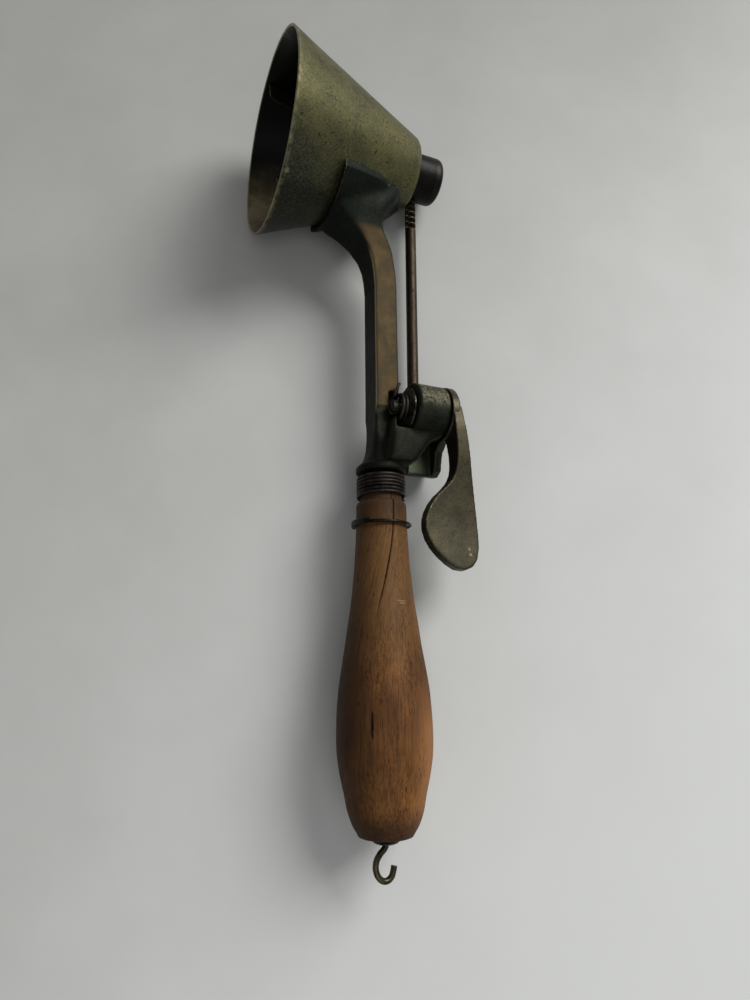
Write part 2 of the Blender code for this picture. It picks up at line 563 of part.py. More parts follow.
def make_frame(base):
    """Cast frame: collar, arm, saddle under the bowl, web and lever barrel."""
    head = [(BOWL_Z + z, *section) for z, *section in ARM_HEAD]
    frame = loft("frame_casting", ARM_FOOT + head, ((0.12, 0.12, 0.085), 0.5, 0.85))
    frame.parent = base
    saddle = turned("saddle_ring", [(bowl_radius(12, SADDLE_T + FIT + 0.2), 12),
                                    (bowl_radius(-22, SADDLE_T + FIT + 0.2), -22),
                                    (bowl_radius(-22, -1.0), -22), (bowl_radius(12, -1.0), 12)],
                    72, cutter=True, closed=True)
    place(saddle, base, (0, 0, BOWL_Z), ALONG_X)
    outline = SADDLE + [(x, -y) for x, y in reversed(SADDLE[:-1])]
    patch = prism("saddle_outline", outline, BOWL_Z - 45, BOWL_Z - 6, cutter=True)
    patch.parent = base
    cut(saddle, patch, "INTERSECT")
    cut(frame, saddle, "UNION")
    collar = turned("collar", [(0, COLLAR_Z1), (COLLAR_R - 0.8, COLLAR_Z1),
                               (COLLAR_R, COLLAR_Z1 - 0.8), (COLLAR_R, COLLAR_Z0 + 0.4),
                               (COLLAR_R - 0.4, COLLAR_Z0), (0, COLLAR_Z0)], 40, cutter=True)
    collar.parent = base
    cut(frame, collar, "UNION")
    web = front_prism("gusset", GUSSET, -9.0, 1.2, cutter=True, bevel=1.0)
    web.parent = base
    cut(frame, web, "UNION")
    barrel = turned("barrel", [(0, BARREL_X1), (BARREL_R - 0.5, BARREL_X1),
                               (BARREL_R, BARREL_X1 - 0.5), (BARREL_R, BARREL_X0 + 0.5),
                               (BARREL_R - 0.5, BARREL_X0), (0, BARREL_X0)], 56, cutter=True)
    place(barrel, base, (0, PIVOT_Y, PIVOT_Z), ALONG_X)
    cut(frame, barrel, "UNION")
    low = PIN_Z - BOWL_Z - 8
    way = turned("rod_way", [(0, -20), (ROD_R + 0.45, -20), (ROD_R + 0.45, low), (0, low)], 32,
                 cutter=True)
    place(way, base, (ROD_X, ROD_Y, BOWL_Z), (0.0, ROD_LEAN, 0.0))
    cut(frame, way)
    pocket = turned("spring_pocket", [(0, BARREL_X0), (POCKET_R, BARREL_X0), (POCKET_R, 1.7),
                                      (PIVOT_R + 0.6, 1.7), (PIVOT_R + 0.6, -6), (0, -6)], 40,
                    cutter=True)
    place(pocket, base, (0, PIVOT_Y, PIVOT_Z), ALONG_X)
    cut(frame, pocket)
    bore = turned("barrel_bore", [(0, 40), (PIVOT_R + FIT, 40), (PIVOT_R + FIT, 5), (0, 5)], 32,
                  cutter=True)
    place(bore, base, (0, PIVOT_Y, PIVOT_Z), ALONG_X)
    cut(frame, bore)
    room = turned("bowl_room", [(0, 30), (bowl_radius(30, FIT + 0.12), 30),
                                (bowl_radius(-60, FIT + 0.12), -60), (0, -60)], 72, cutter=True)
    place(room, base, (0, 0, BOWL_Z), ALONG_X)
    cut(frame, room)
    socket = turned("tang_hole", [(0, 84), (TANG_R + FIT, 84), (TANG_R + FIT, 70), (0, 70)], 24,
                    cutter=True)
    socket.parent = base
    cut(frame, socket)


def make_handle(base):
    """Turned wooden handle with its tang, wire binding, loose ring and hanging hook."""
    bore = [(TANG_R + FIT, HANDLE[-1][0])]
    rest = [(r, z) for z, r in reversed(HANDLE)]
    inside = [(HOOK_WIRE / 2 + FIT, HANDLE[0][0]), (HOOK_WIRE / 2 + FIT, TANG_Z0 - 1.0),
              (TANG_R + FIT, TANG_Z0 - 0.4)]
    handle = turned("wood_handle", bore + rest + inside, 44, ((0.33, 0.15, 0.065), 0.5, 0.0),
                    closed=True)
    handle.parent = base
    tang = turned("handle_tang", [(0, 83.6), (TANG_R - 0.4, 83.6), (TANG_R, 83.2),
                                  (TANG_R, TANG_Z0 + 0.5), (TANG_R - 0.6, TANG_Z0), (0, TANG_Z0)],
                  24, ((0.15, 0.12, 0.10), 0.6, 0.8))
    tang.parent = base
    pitch = COIL_WIRE + 0.12
    coil = coil_points(COIL_R, pitch, COIL_TURNS, 20)
    ends = [coil[0] + Vector((0.0, -0.9, 0.0)), *coil]
    binding = wire("binding_wire", [p + Vector((0, 0, COIL_Z)) for p in ends], COIL_WIRE,
                   ((0.10, 0.07, 0.055), 0.6, 0.75))
    binding.parent = base
    ring = [Vector((RING_R * math.cos(a), RING_R * math.sin(a), 0.0))
            for a in (2 * math.pi * k / 36 for k in range(36))]
    loop = wire("wire_ring", ring, RING_WIRE, ((0.14, 0.13, 0.09), 0.5, 0.85), cyclic=True)
    place(loop, base, (0, 0, RING_Z), (math.radians(4.0), 0, 0))
    plate = turned("hook_plate", [(HOOK_WIRE / 2 + FIT, -23.8), (3.9, -23.8), (3.7, -24.4),
                                  (2.6, -25.1), (HOOK_WIRE / 2 + FIT, -25.3)], 32,
                   ((0.20, 0.16, 0.09), 0.5, 0.9), closed=True)
    plate.parent = base
    path = [(x, 0.0, z) for x, z in HOOK]
    hook = wire("hanging_hook", path[:1] + smooth_path(path[1:], 3), HOOK_WIRE,
                ((0.20, 0.16, 0.09), 0.4, 0.95), sides=2)
    hook.parent = base


def lying_axes():
    """Rows of the rotation that lays the disher on its rim, gear cap and handle belly."""
    down_x = (MOUTH_R - CAP_R) / math.hypot(MOUTH_R - CAP_R, CAP_X1 - MOUTH_X)
    flat = math.sqrt(1 - down_x ** 2)
    reach = down_x * MOUTH_X + flat * MOUTH_R

    def belly(tilt):
        lean = flat * math.sin(tilt)
        return max(lean * z + math.sqrt(1 - lean ** 2) * r for z, r in HANDLE)

    low, high = math.radians(-15), math.radians(15)
    for _ in range(60):
        mid = (low + high) / 2
        if reach + flat * math.sin(mid) * BOWL_Z > belly(mid):
            high = mid
        else:
            low = mid
    down = Vector((down_x, flat * math.cos(mid), flat * math.sin(mid)))
    up = -down
    along = Vector((0, 0, 1)) - up * up.z
    along.normalize()
    return along.cross(up), along, up


def apply_cuts(ob):
    """Make a cut or joined piece's result its own mesh, while everything is still upright."""
    bpy.context.view_layer.update()
    graph = bpy.context.evaluated_depsgraph_get()
    mesh = bpy.data.meshes.new_from_object(ob.evaluated_get(graph))
    bm = bmesh.new()
    bm.from_mesh(mesh)
    bmesh.ops.remove_doubles(bm, verts=bm.verts, dist=0.000002)
    bmesh.ops.dissolve_degenerate(bm, edges=bm.edges, dist=0.000002)
    bm.to_mesh(mesh)
    bm.free()
    mesh.name = ob.name
    looks = ob.data.materials[0]
    ob.modifiers.clear()
    ob.data = mesh
    mesh.materials.clear()
    mesh.materials.append(looks)
    shade(ob)


def settle(base):
    """Lay the disher down and bring the middle of its footprint to the origin."""
    base.rotation_euler = Matrix(lying_axes()).to_euler()
    base.location = (0, 0, 0)
    bpy.context.view_layer.update()
    graph = bpy.context.evaluated_depsgraph_get()
    corners = []
    for ob in PARTS.objects:
        if ob.type == "MESH":
            shape = ob.evaluated_get(graph)
            corners += [ob.matrix_world @ v.co for v in shape.data.vertices]
    low = [min(c[i] for c in corners) for i in range(3)]
    high = [max(c[i] for c in corners) for i in range(3)]
    base.location = (-(low[0] + high[0]) / 2, -(low[1] + high[1]) / 2, -low[2])
    bpy.context.view_layer.update()


def main():
    base = empty("lying_pose")
    make_frame(base)
    axis = make_bowl(base)
    make_scraper(axis)
    make_rack(base)
    make_lever(base)
    make_spring(base)
    make_handle(base)
    for ob in PARTS.objects:
        if any(mod.type == "BOOLEAN" for mod in ob.modifiers):
            apply_cuts(ob)
        elif ob.type == "MESH" and not ob.modifiers:
            shade(ob)
    settle(base)


main()
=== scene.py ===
"""Looks of a conical ice-cream disher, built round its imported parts.

The tool lies on a pale counter.  Every new piece is modelled upright, in millimetres about the
handle's axis (X to the gear cap, Y away from the thumb, Z up the handle), and is then laid down
with the tool's own matrix.
"""
from __future__ import annotations

import json
import logging
import math
from collections.abc import Callable, Iterator, Sequence
from contextlib import contextmanager
from dataclasses import dataclass
from enum import Enum

import bpy
from mathutils import Matrix, Vector, noise

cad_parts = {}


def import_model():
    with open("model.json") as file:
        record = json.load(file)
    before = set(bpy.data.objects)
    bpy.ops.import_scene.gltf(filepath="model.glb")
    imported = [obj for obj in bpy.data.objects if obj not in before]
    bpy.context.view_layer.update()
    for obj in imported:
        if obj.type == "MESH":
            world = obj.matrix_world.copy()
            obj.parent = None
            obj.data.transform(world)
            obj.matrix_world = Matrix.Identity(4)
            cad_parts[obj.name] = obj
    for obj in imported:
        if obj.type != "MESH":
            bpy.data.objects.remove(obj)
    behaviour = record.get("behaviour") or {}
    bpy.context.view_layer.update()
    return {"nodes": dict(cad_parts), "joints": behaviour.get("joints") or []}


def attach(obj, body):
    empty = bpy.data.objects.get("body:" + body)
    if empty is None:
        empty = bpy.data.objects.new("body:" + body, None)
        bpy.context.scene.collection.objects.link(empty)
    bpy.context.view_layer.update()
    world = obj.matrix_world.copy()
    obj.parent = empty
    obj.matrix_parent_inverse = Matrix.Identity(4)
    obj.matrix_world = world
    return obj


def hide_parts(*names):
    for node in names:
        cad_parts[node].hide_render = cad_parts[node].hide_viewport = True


MM = 0.001
LOG = logging.getLogger("cone_disher")
SOFT_ANGLE = 60.0
WELD = 0.0005
PACKED_WELD = 0.000002
Colour = tuple[float, float, float]
Socket = bpy.types.NodeSocket


class Body(Enum):
    """Bodies that a piece can ride on."""

    FRAME = "frame"
    LEVER = "lever"
    RACK = "rack"
    SCRAPER = "scraper"


class Slot(Enum):
    """Finishes named in the record."""

    BOWL = "olive_brass"
    CASTING = "dark_bronze_casting"
    CAP = "dark_cap"
    ROD = "rod_brass"
    LEVER = "lever_brass"
    SCRAPER = "scraper_brass"
    STEEL = "steel_small"
    IRON_WIRE = "iron_wire"
    BRASS_WIRE = "brass_wire"
    WOOD = "turned_wood"
    TANG = "iron_tang"


def tint(red: int, green: int, blue: int) -> Colour:
    """Linear colour of a paint-box colour given from 0 to 255."""
    out = []
    for part in (red, green, blue):
        share = part / 255
        out.append(share / 12.92 if share <= 0.04045 else ((share + 0.055) / 1.055) ** 2.4)
    return out[0], out[1], out[2]


@dataclass(frozen=True)
class ToolFrame:
    """Where the upright tool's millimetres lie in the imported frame."""

    matrix: Matrix

    @classmethod
    def from_joints(cls, joints: Sequence[dict], axis_up: float = 192.6, pivot_up: float = 99.0,
                    pivot_front: float = 6.1) -> ToolFrame:
        """Work the tool's axes out from the lever's and the scraper's joints.

        Args:
            joints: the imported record's joints.
            axis_up: height of the bowl's axis.
            pivot_up: height of the lever's pivot.
            pivot_front: how far the pivot stands in front of the handle's axis.

        Returns:
            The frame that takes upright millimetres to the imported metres.
        """
        named = {joint["name"]: joint for joint in joints}
        lever, scraper = named["thumb_lever_press"], named["scraper_turn"]
        x_axis = Vector(lever["axis"]).normalized()
        span = Vector(scraper["pos_m"]) - Vector(lever["pos_m"])
        span -= x_axis * span.dot(x_axis)
        lean = math.atan2(pivot_front, axis_up - pivot_up)
        z_axis = (Matrix.Rotation(lean, 3, x_axis) @ span).normalized()
        y_axis = z_axis.cross(x_axis)
        origin = Vector(scraper["pos_m"]) - z_axis * axis_up * MM
        turn = Matrix((x_axis, y_axis, z_axis)).transposed().to_4x4()
        return cls(Matrix.Translation(origin) @ turn @ Matrix.Scale(MM, 4))

    def at(self, point: Sequence[float]) -> Vector:
        """Packed place of an upright point in millimetres."""
        return self.matrix @ Vector(point)

    def along(self, direction: Sequence[float]) -> Vector:
        """Packed unit vector of an upright direction."""
        return (self.matrix.to_3x3() @ Vector(direction)).normalized()


# --------------------------------------------------------------------------- bench work


def deselect() -> None:
    """Leave nothing selected."""
    bpy.ops.object.select_all(action="DESELECT")


def take(ob: bpy.types.Object) -> None:
    """Select one object alone and make it active."""
    deselect()
    ob.select_set(True)
    bpy.context.view_layer.objects.active = ob


@contextmanager
def editing(ob: bpy.types.Object) -> Iterator[None]:
    """Edit mode on one object, with all of it selected."""
    take(ob)
    bpy.ops.object.mode_set(mode="EDIT")
    bpy.ops.mesh.select_all(action="SELECT")
    yield
    bpy.ops.object.mode_set(mode="OBJECT")


def apply_modifier(ob: bpy.types.Object, kind: str, **settings: object) -> None:
    """Add a modifier with its settings and apply it.

    Args:
        ob: the object.
        kind: the modifier's type.
        settings: its properties.
    """
    take(ob)
    mod = ob.modifiers.new(kind.lower(), kind)
    for key, value in settings.items():
        setattr(mod, key, value)
    bpy.ops.object.modifier_apply(modifier=mod.name)


def smooth(ob: bpy.types.Object, degrees: float = 35.0) -> None:
    """Shade an object smooth, with edges sharper than the angle kept."""
    take(ob)
    bpy.ops.object.shade_smooth_by_angle(angle=math.radians(degrees))


def lay_down(ob: bpy.types.Object, matrix: Matrix) -> None:
    """Place an object by a matrix and apply it to the mesh."""
    take(ob)
    ob.matrix_world = matrix
    bpy.ops.object.transform_apply(location=True, rotation=True, scale=True)


def chain(name: str, points: Sequence[Vector]) -> bpy.types.Object:
    """Draw a chain of edges by extruding one point from place to place.

    Args:
        name: the object's name.
        points: the places in turn.

    Returns:
        The chain as a mesh object.
    """
    deselect()
    bpy.ops.mesh.primitive_plane_add(size=1.0)
    ob = bpy.context.object
    ob.name = ob.data.name = name
    with editing(ob):
        bpy.ops.mesh.merge(type="CENTER")
        bpy.ops.transform.translate(value=points[0])
        for start, end in zip(points, points[1:]):
            bpy.ops.mesh.extrude_vertices_move(TRANSFORM_OT_translate={"value": end - start})
    return ob


def turn_on_lathe(name: str, section: Sequence[tuple[float, float]],
                  steps: int) -> bpy.types.Object:
    """Spin a half section about Z.

    Args:
        name: the object's name.
        section: radius and height of its points, in mm; a closed section ends where it starts.
        steps: faces round the turn.

    Returns:
        The turned object, closed, in mm about its own axis.
    """
    ob = chain(name, [Vector((radius, 0.0, height)) for radius, height in section])
    with editing(ob):
        bpy.ops.mesh.spin(steps=steps, angle=2 * math.pi, center=(0, 0, 0), axis=(0, 0, 1))
        bpy.ops.mesh.select_all(action="SELECT")
        bpy.ops.mesh.remove_doubles(threshold=WELD)
        bpy.ops.mesh.normals_make_consistent(inside=False)
    return ob


def bend_wire(name: str, path: Sequence[Vector], diameter: float,
              sides: int = 4) -> bpy.types.Object:
    """A round wire with closed ends along a path, in mm.

    Args:
        name: the object's name.
        path: the places that it passes.
        diameter: its thickness.
        sides: how finely its section is rounded.

    Returns:
        The wire as a mesh object.
    """
    ob = chain(name, path)
    take(ob)
    bpy.ops.object.convert(target="CURVE")
    ob = bpy.context.object
    ob.data.bevel_depth = diameter / 2
    ob.data.bevel_resolution = sides
    ob.data.use_fill_caps = True
    bpy.ops.object.convert(target="MESH")
    ob = bpy.context.object
    ob.name = ob.data.name = name
    with editing(ob):
        bpy.ops.mesh.remove_doubles(threshold=WELD)
        bpy.ops.mesh.normals_make_consistent(inside=False)
    return ob


def soft_copy(node: bpy.types.Object, name: str, voxel: float, passes: int) -> bpy.types.Object:
    """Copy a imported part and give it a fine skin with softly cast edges.

    Args:
        node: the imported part.
        name: the copy's name.
        voxel: size of its skin's faces, in mm.
        passes: how often the skin is smoothed.

    Returns:
        The copy, in its place.
    """
    take(node)
    bpy.ops.object.duplicate()
    ob = bpy.context.object
    ob.parent = None
    for key in [key for key in ob.keys() if key.startswith("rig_")]:
        del ob[key]
    ob.name = ob.data.name = name
    with editing(ob):
        bpy.ops.mesh.remove_doubles(threshold=PACKED_WELD)
    apply_modifier(ob, "REMESH", mode="VOXEL", voxel_size=voxel * MM, use_smooth_shade=True)
    apply_modifier(ob, "SMOOTH", factor=0.5, iterations=passes)
    return ob


def melt(ob: bpy.types.Object, share: Callable[[Vector], float], passes: int) -> None:
    """Smooth an object more where a share says so, to fill its inner corners.

    Args:
        ob: the object.
        share: 0 to 1 for a point in packed metres.
        passes: how often it is smoothed.
    """
    group = ob.vertex_groups.new(name="melt")
    for vert in ob.data.vertices:
        weight = share(vert.co)
        if weight > 0.0:
            group.add([vert.index], weight, "REPLACE")
    apply_modifier(ob, "SMOOTH", factor=0.5, iterations=passes, vertex_group="melt")
    ob.vertex_groups.clear()


def true_up(ob: bpy.types.Object, centre: Vector, axis: Vector, radius: float,
            reach: tuple[float, float], play: float = 0.14) -> None:
    """Move points that nearly lie on a turned surface onto it.

    Args:
        ob: the object.
        centre: a point on the axis.
        axis: its direction.
        radius: radius of the surface, in mm.
        reach: where the surface starts and ends along the axis, in mm.
        play: how far off it a point may be, in mm.
    """
    low, high = reach
    for vert in ob.data.vertices:
        offset = (vert.co - centre) / MM
        height = offset.dot(axis)
        if not low < height < high:
            continue
        out = offset - axis * height
        if abs(out.length - radius) < play:
            vert.co = centre + (axis * height + out.normalized() * radius) * MM


def arc(centre: tuple[float, float], radius: float, start: float, end: float,
        steps: int) -> list[tuple[float, float]]:
    """Points of an arc, with its angles in degrees."""
    out = []
    for step in range(steps + 1):
        angle = math.radians(start + (end - start) * step / steps)
        out.append((centre[0] + radius * math.cos(angle), centre[1] + radius * math.sin(angle)))
    return out


def between(value: float, table: Sequence[tuple[float, float]]) -> float:
    """Value of a table of (place, amount) at a place, with straight runs between."""
    if value <= table[0][0]:
        return table[0][1]
    for (low, first), (high, last) in zip(table, table[1:]):
        if value <= high:
            return first + (last - first) * (value - low) / (high - low)
    return table[-1][1]


def flowing(points: Sequence[Sequence[float]], per: int) -> list[Vector]:
    """Points of a smooth curve through the given points.

    Args:
        points: the places that it passes.
        per: how many points each stretch gets.

    Returns:
        The curve's points.
    """
    given = [Vector(point) for point in points]
    ends = [given[0] * 2 - given[1], *given, given[-1] * 2 - given[-2]]
    out = []
    for p0, p1, p2, p3 in zip(ends, ends[1:], ends[2:], ends[3:]):
        for step in range(per):
            t = step / per
            out.append(0.5 * (2 * p1 + (p2 - p0) * t + (2 * p0 - 5 * p1 + 4 * p2 - p3) * t ** 2
                              + (3 * p1 - p0 - 3 * p2 + p3) * t ** 3))
    return [*out, given[-1]]


# --------------------------------------------------------------------------- finishes


class Recipe:
    """Node graph of one finish, fed with the upright tool's millimetres."""

    def __init__(self, name: str, tool: ToolFrame | None) -> None:
        """Start a material.

        Args:
            name: the material's name.
            tool: the tool's frame, or None for packed metres.
        """
        self.material = bpy.data.materials.new(name)
        self.material.use_nodes = True
        self.tree = self.material.node_tree
        self.shader = self.tree.nodes["Principled BSDF"]
        place = self.add("ShaderNodeTexCoord").outputs["Object"]
        if tool:
            mapping = self.add("ShaderNodeMapping")
            mapping.vector_type = "TEXTURE"
            mapping.inputs["Location"].default_value = tool.matrix.translation
            mapping.inputs["Rotation"].default_value = tool.matrix.to_euler()
            mapping.inputs["Scale"].default_value = (MM, MM, MM)
            self.join(place, mapping.inputs["Vector"])
            place = mapping.outputs["Vector"]
        self.place = place
        self.height: Socket | None = None

    def add(self, kind: str) -> bpy.types.Node:
        """Add a node."""
        return self.tree.nodes.new(kind)

    def join(self, value: Socket | float | Colour, target: Socket) -> None:
        """Link a socket to an input, or write a plain value on it."""
        if isinstance(value, bpy.types.NodeSocket):
            self.tree.links.new(value, target)
        elif isinstance(value, tuple) and target.type == "RGBA":
            target.default_value = (*value, 1.0)
        else:
            target.default_value = value

    def attribute(self, name: str, output: str) -> Socket:
        """One output of a mesh's own attribute."""
        node = self.add("ShaderNodeAttribute")
        node.attribute_name = name
        return node.outputs[output]

    def axis(self, index: int, source: Socket | None = None) -> Socket:
        """One coordinate of a place."""
        node = self.add("ShaderNodeSeparateXYZ")
        self.join(source or self.place, node.inputs[0])
        return node.outputs[index]

    def sum(self, kind: str, first: Socket | float, second: Socket | float = 0.0) -> Socket:
        """A sum of two numbers, by the name of the operation."""
        node = self.add("ShaderNodeMath")
        node.operation = kind
        self.join(first, node.inputs[0])
        self.join(second, node.inputs[1])
        return node.outputs[0]

    def times(self, first: Socket | float, *rest: Socket | float) -> Socket:
        """Product of numbers."""
        for part in rest:
            first = self.sum("MULTIPLY", first, part)
        return first

    def plus(self, first: Socket | float, second: Socket | float) -> Socket:
        """Two numbers added."""
        return self.sum("ADD", first, second)

    def less(self, first: Socket | float, second: Socket | float) -> Socket:
        """The first number less the second."""
        return self.sum("SUBTRACT", first, second)

    def spread(self, value: Socket, low: float, high: float) -> Socket:
        """0 to 1 as a value goes smoothly from low to high."""
        node = self.add("ShaderNodeMapRange")
        node.interpolation_type = "SMOOTHSTEP"
        self.join(value, node.inputs["Value"])
        node.inputs["From Min"].default_value = low
        node.inputs["From Max"].default_value = high
        return node.outputs["Result"]

    def fall(self, value: Socket, low: float, high: float) -> Socket:
        """1 to 0 as a value goes smoothly from low to high."""
        return self.less(1.0, self.spread(value, low, high))

    def band(self, value: Socket, rise: tuple[float, float], fall: tuple[float, float]) -> Socket:
        """Share that rises from 0 to 1 and falls to 0 again as a value grows."""
        return self.times(self.spread(value, *rise), self.fall(value, *fall))

    def blotches(self, size: float, detail: float = 4.0, rough: float = 0.6,
                 stretch: Sequence[float] = (1.0, 1.0, 1.0), shift: float = 0.0,
                 source: Socket | None = None) -> Socket:
        """Soft noise from 0 to 1.

        Args:
            size: size of its blotches, in mm.
            detail: how many finer layers it has.
            rough: how strong those are.
            stretch: how much finer it is along each axis.
            shift: moves the pattern, so that two of one size differ.
            source: coordinates other than the tool's.

        Returns:
            The noise's value.
        """
        mapping = self.add("ShaderNodeMapping")
        mapping.inputs["Scale"].default_value = [part / size for part in stretch]
        mapping.inputs["Location"].default_value = (shift, shift * 0.7, -shift)
        self.join(source or self.place, mapping.inputs["Vector"])
        node = self.add("ShaderNodeTexNoise")
        node.inputs["Scale"].default_value = 1.0
        node.inputs["Detail"].default_value = detail
        node.inputs["Roughness"].default_value = rough
        self.join(mapping.outputs["Vector"], node.inputs["Vector"])
        return node.outputs["Fac"]

    def cloud(self, low: float, high: float, *pattern: object, **more: object) -> Socket:
        """Share of noise that goes from 0 to 1 between two of its values.

        Args:
            low: the noise that gives 0.
            high: the noise that gives 1.
            pattern: what blotches takes, in turn.
            more: what blotches takes by name.

        Returns:
            The share.
        """
        return self.spread(self.blotches(*pattern, **more), low, high)

    def blend(self, share: Socket | float, first: Socket | Colour,
              second: Socket | Colour) -> Socket:
        """Colour that goes from the first to the second as the share grows."""
        node = self.add("ShaderNodeMix")
        node.data_type = "RGBA"
        self.join(share, node.inputs[0])
        self.join(first, node.inputs[6])
        self.join(second, node.inputs[7])
        return node.outputs[2]

    def coat(self, under: Socket | Colour, over: Socket | Colour,
             *shares: Socket | float) -> Socket:
        """Colour laid over another by the product of some shares."""
        return self.blend(self.times(*shares), under, over)

    def facing(self, direction: Vector) -> Socket:
        """How squarely the surface faces a direction, from -1 to 1."""
        node = self.add("ShaderNodeVectorMath")
        node.operation = "DOT_PRODUCT"
        self.join(self.add("ShaderNodeNewGeometry").outputs["Normal"], node.inputs[0])
        node.inputs[1].default_value = direction
        return node.outputs["Value"]

    def edges(self, low: float, high: float) -> Socket:
        """Share of a sharp outer edge."""
        return self.spread(self.add("ShaderNodeNewGeometry").outputs["Pointiness"], low, high)

    def spot(self, centre: Sequence[float], size: float) -> Socket:
        """Share of a small ragged spot about an upright point, in mm."""
        node = self.add("ShaderNodeVectorMath")
        node.operation = "DISTANCE"
        self.join(self.place, node.inputs[0])
        node.inputs[1].default_value = centre
        ragged = self.times(self.blotches(0.9, 3.0), size * 1.6)
        return self.fall(self.plus(node.outputs["Value"], ragged), size * 1.1, size * 1.7)

    def carve(self, height: Socket, depth: float) -> None:
        """Raise and sink the surface by a height from 0 to 1 times a depth in mm."""
        node = self.add("ShaderNodeBump")
        node.inputs["Strength"].default_value = 1.0
        node.inputs["Distance"].default_value = depth * MM
        self.join(height, node.inputs["Height"])
        if self.height:
            self.join(self.height, node.inputs["Normal"])
        self.height = node.outputs["Normal"]

    def finish(self, colour: Socket | Colour, rough: Socket | float, metal: Socket | float,
               gloss: float) -> bpy.types.Material:
        """Feed the shader and return the material."""
        for value, name in ((colour, "Base Color"), (rough, "Roughness"), (metal, "Metallic"),
                            (gloss, "Specular IOR Level")):
            self.join(value, self.shader.inputs[name])
        if self.height:
            self.join(self.height, self.shader.inputs["Normal"])
        return self.material


@dataclass(frozen=True)
class AgedMetal:
    """Old metal: a base with a darker bloom, fine specks, worn edges and a pitted skin."""

    name: str
    base: Colour
    bloom: Colour
    # Dark speck colour; the casting also uses it for painted shade on its web.
    speck_and_shade: Colour
    worn: Colour
    metal: float = 0.75
    rough: tuple[float, float] = (0.34, 0.56)
    mottle: float = 6.0
    grain: float = 0.55
    pitting: float = 0.03
    edge: tuple[float, float] = (0.515, 0.56)
    stretch: tuple[float, float, float] = (1.0, 1.0, 1.0)
    dusty: float = 0.12
    gloss: float = 0.35
    specked: float = 0.75

    def paint(self, recipe: Recipe) -> Socket:
        """Colour before specks and wear."""
        bloom = recipe.cloud(0.38, 0.66, self.mottle, stretch=self.stretch)
        return recipe.blend(bloom, self.base, self.bloom)

    def exposed(self, recipe: Recipe) -> Socket:
        """Share of wear that an edge can show at a place."""
        return recipe.cloud(0.35, 0.6, 2.5, 4.0, shift=5.0)

    def mark(self, recipe: Recipe, colour: Socket) -> Socket:
        """Colour with marks that lie over everything else."""
        return colour

    def build(self, tool: ToolFrame) -> bpy.types.Material:
        """Make the material."""
        recipe = Recipe(self.name, tool)
        grain = recipe.blotches(self.grain, 5.0, 0.7, self.stretch, 3.0)
        patches = recipe.blotches(self.mottle * 0.6, 3.0, shift=9.0)
        dust = recipe.cloud(0.46, 0.66, self.grain * 0.7, 4.0, 0.8, self.stretch, 41.0)
        colour = recipe.coat(self.paint(recipe), self.speck_and_shade, recipe.spread(grain, 0.47, 0.60),
                             recipe.spread(patches, 0.25, 0.7), self.specked)
        colour = recipe.coat(colour, self.worn, dust, self.dusty)
        wear = recipe.times(recipe.edges(*self.edge), self.exposed(recipe))
        colour = self.mark(recipe, recipe.blend(wear, colour, self.worn))
        recipe.carve(grain, self.pitting)
        low, high = self.rough
        rough = recipe.plus(recipe.times(patches, high - low), low)
        rough = recipe.less(rough, recipe.times(wear, 0.1))
        return recipe.finish(colour, rough, self.metal, self.gloss)


@dataclass(frozen=True)
class BowlBrass(AgedMetal):
    """Spun brass of the bowl, olive above and blue-green where it faces the handle, painted darker
    there partly as shade.
    """

    verdigris_and_shade: Colour = tint(26, 34, 30)
    gold: Colour = tint(100, 95, 58)
    chipped: Colour = tint(132, 130, 108)

    def paint(self, recipe: Recipe) -> Socket:
        """Olive brass that turns a dark blue-green below the bowl's axis, partly verdigris and
        partly painted shade.
        """
        olive = recipe.coat(super().paint(recipe), self.gold,
                            recipe.cloud(0.44, 0.68, 17.0, 2.0, shift=4.0), 0.6)
        # Partly painted shade: the lower side goes to a dark blue-green, verdigris darkened as if
        # in shade.
        level = recipe.plus(recipe.axis(2), recipe.times(recipe.axis(0), 0.16))
        level = recipe.plus(level, recipe.times(recipe.blotches(5.0), 14.0))
        return recipe.coat(olive, self.verdigris_and_shade, recipe.fall(level, 166.0, 189.0), 0.92)

    def mark(self, recipe: Recipe, colour: Socket) -> Socket:
        """A pale chip near the rim and a few dark pits."""
        pits = recipe.cloud(0.70, 0.76, 1.5, 1.0, shift=21.0)
        chip = recipe.spot((-36.8, -16.4, 165.6), 1.3)
        return recipe.coat(recipe.coat(colour, self.speck_and_shade, pits, 0.8), self.chipped, chip, 0.7)


@dataclass(frozen=True)
class BowlInside(AgedMetal):
    """Inside of the bowl, painted nearly black over the upper side as shade, and rubbed brown
    toward the handle.
    """

    black_and_painted_shade: Colour = tint(9, 10, 7)
    specked: float = 0.25

    def paint(self, recipe: Recipe) -> Socket:
        """Brown that goes nearly black over the upper side as painted shade, and darker in a strip
        at the very bottom.
        """
        # Painted shade: the upper side goes nearly black; the strip at the very bottom is only
        # made darker.
        level = recipe.plus(recipe.axis(2), recipe.times(recipe.blotches(7.0), 8.0))
        low = recipe.times(recipe.fall(level, 165.0, 172.0), 0.75)
        dark = recipe.sum("MAXIMUM", recipe.spread(level, 190.0, 210.0), low)
        return recipe.blend(dark, super().paint(recipe), self.black_and_painted_shade)


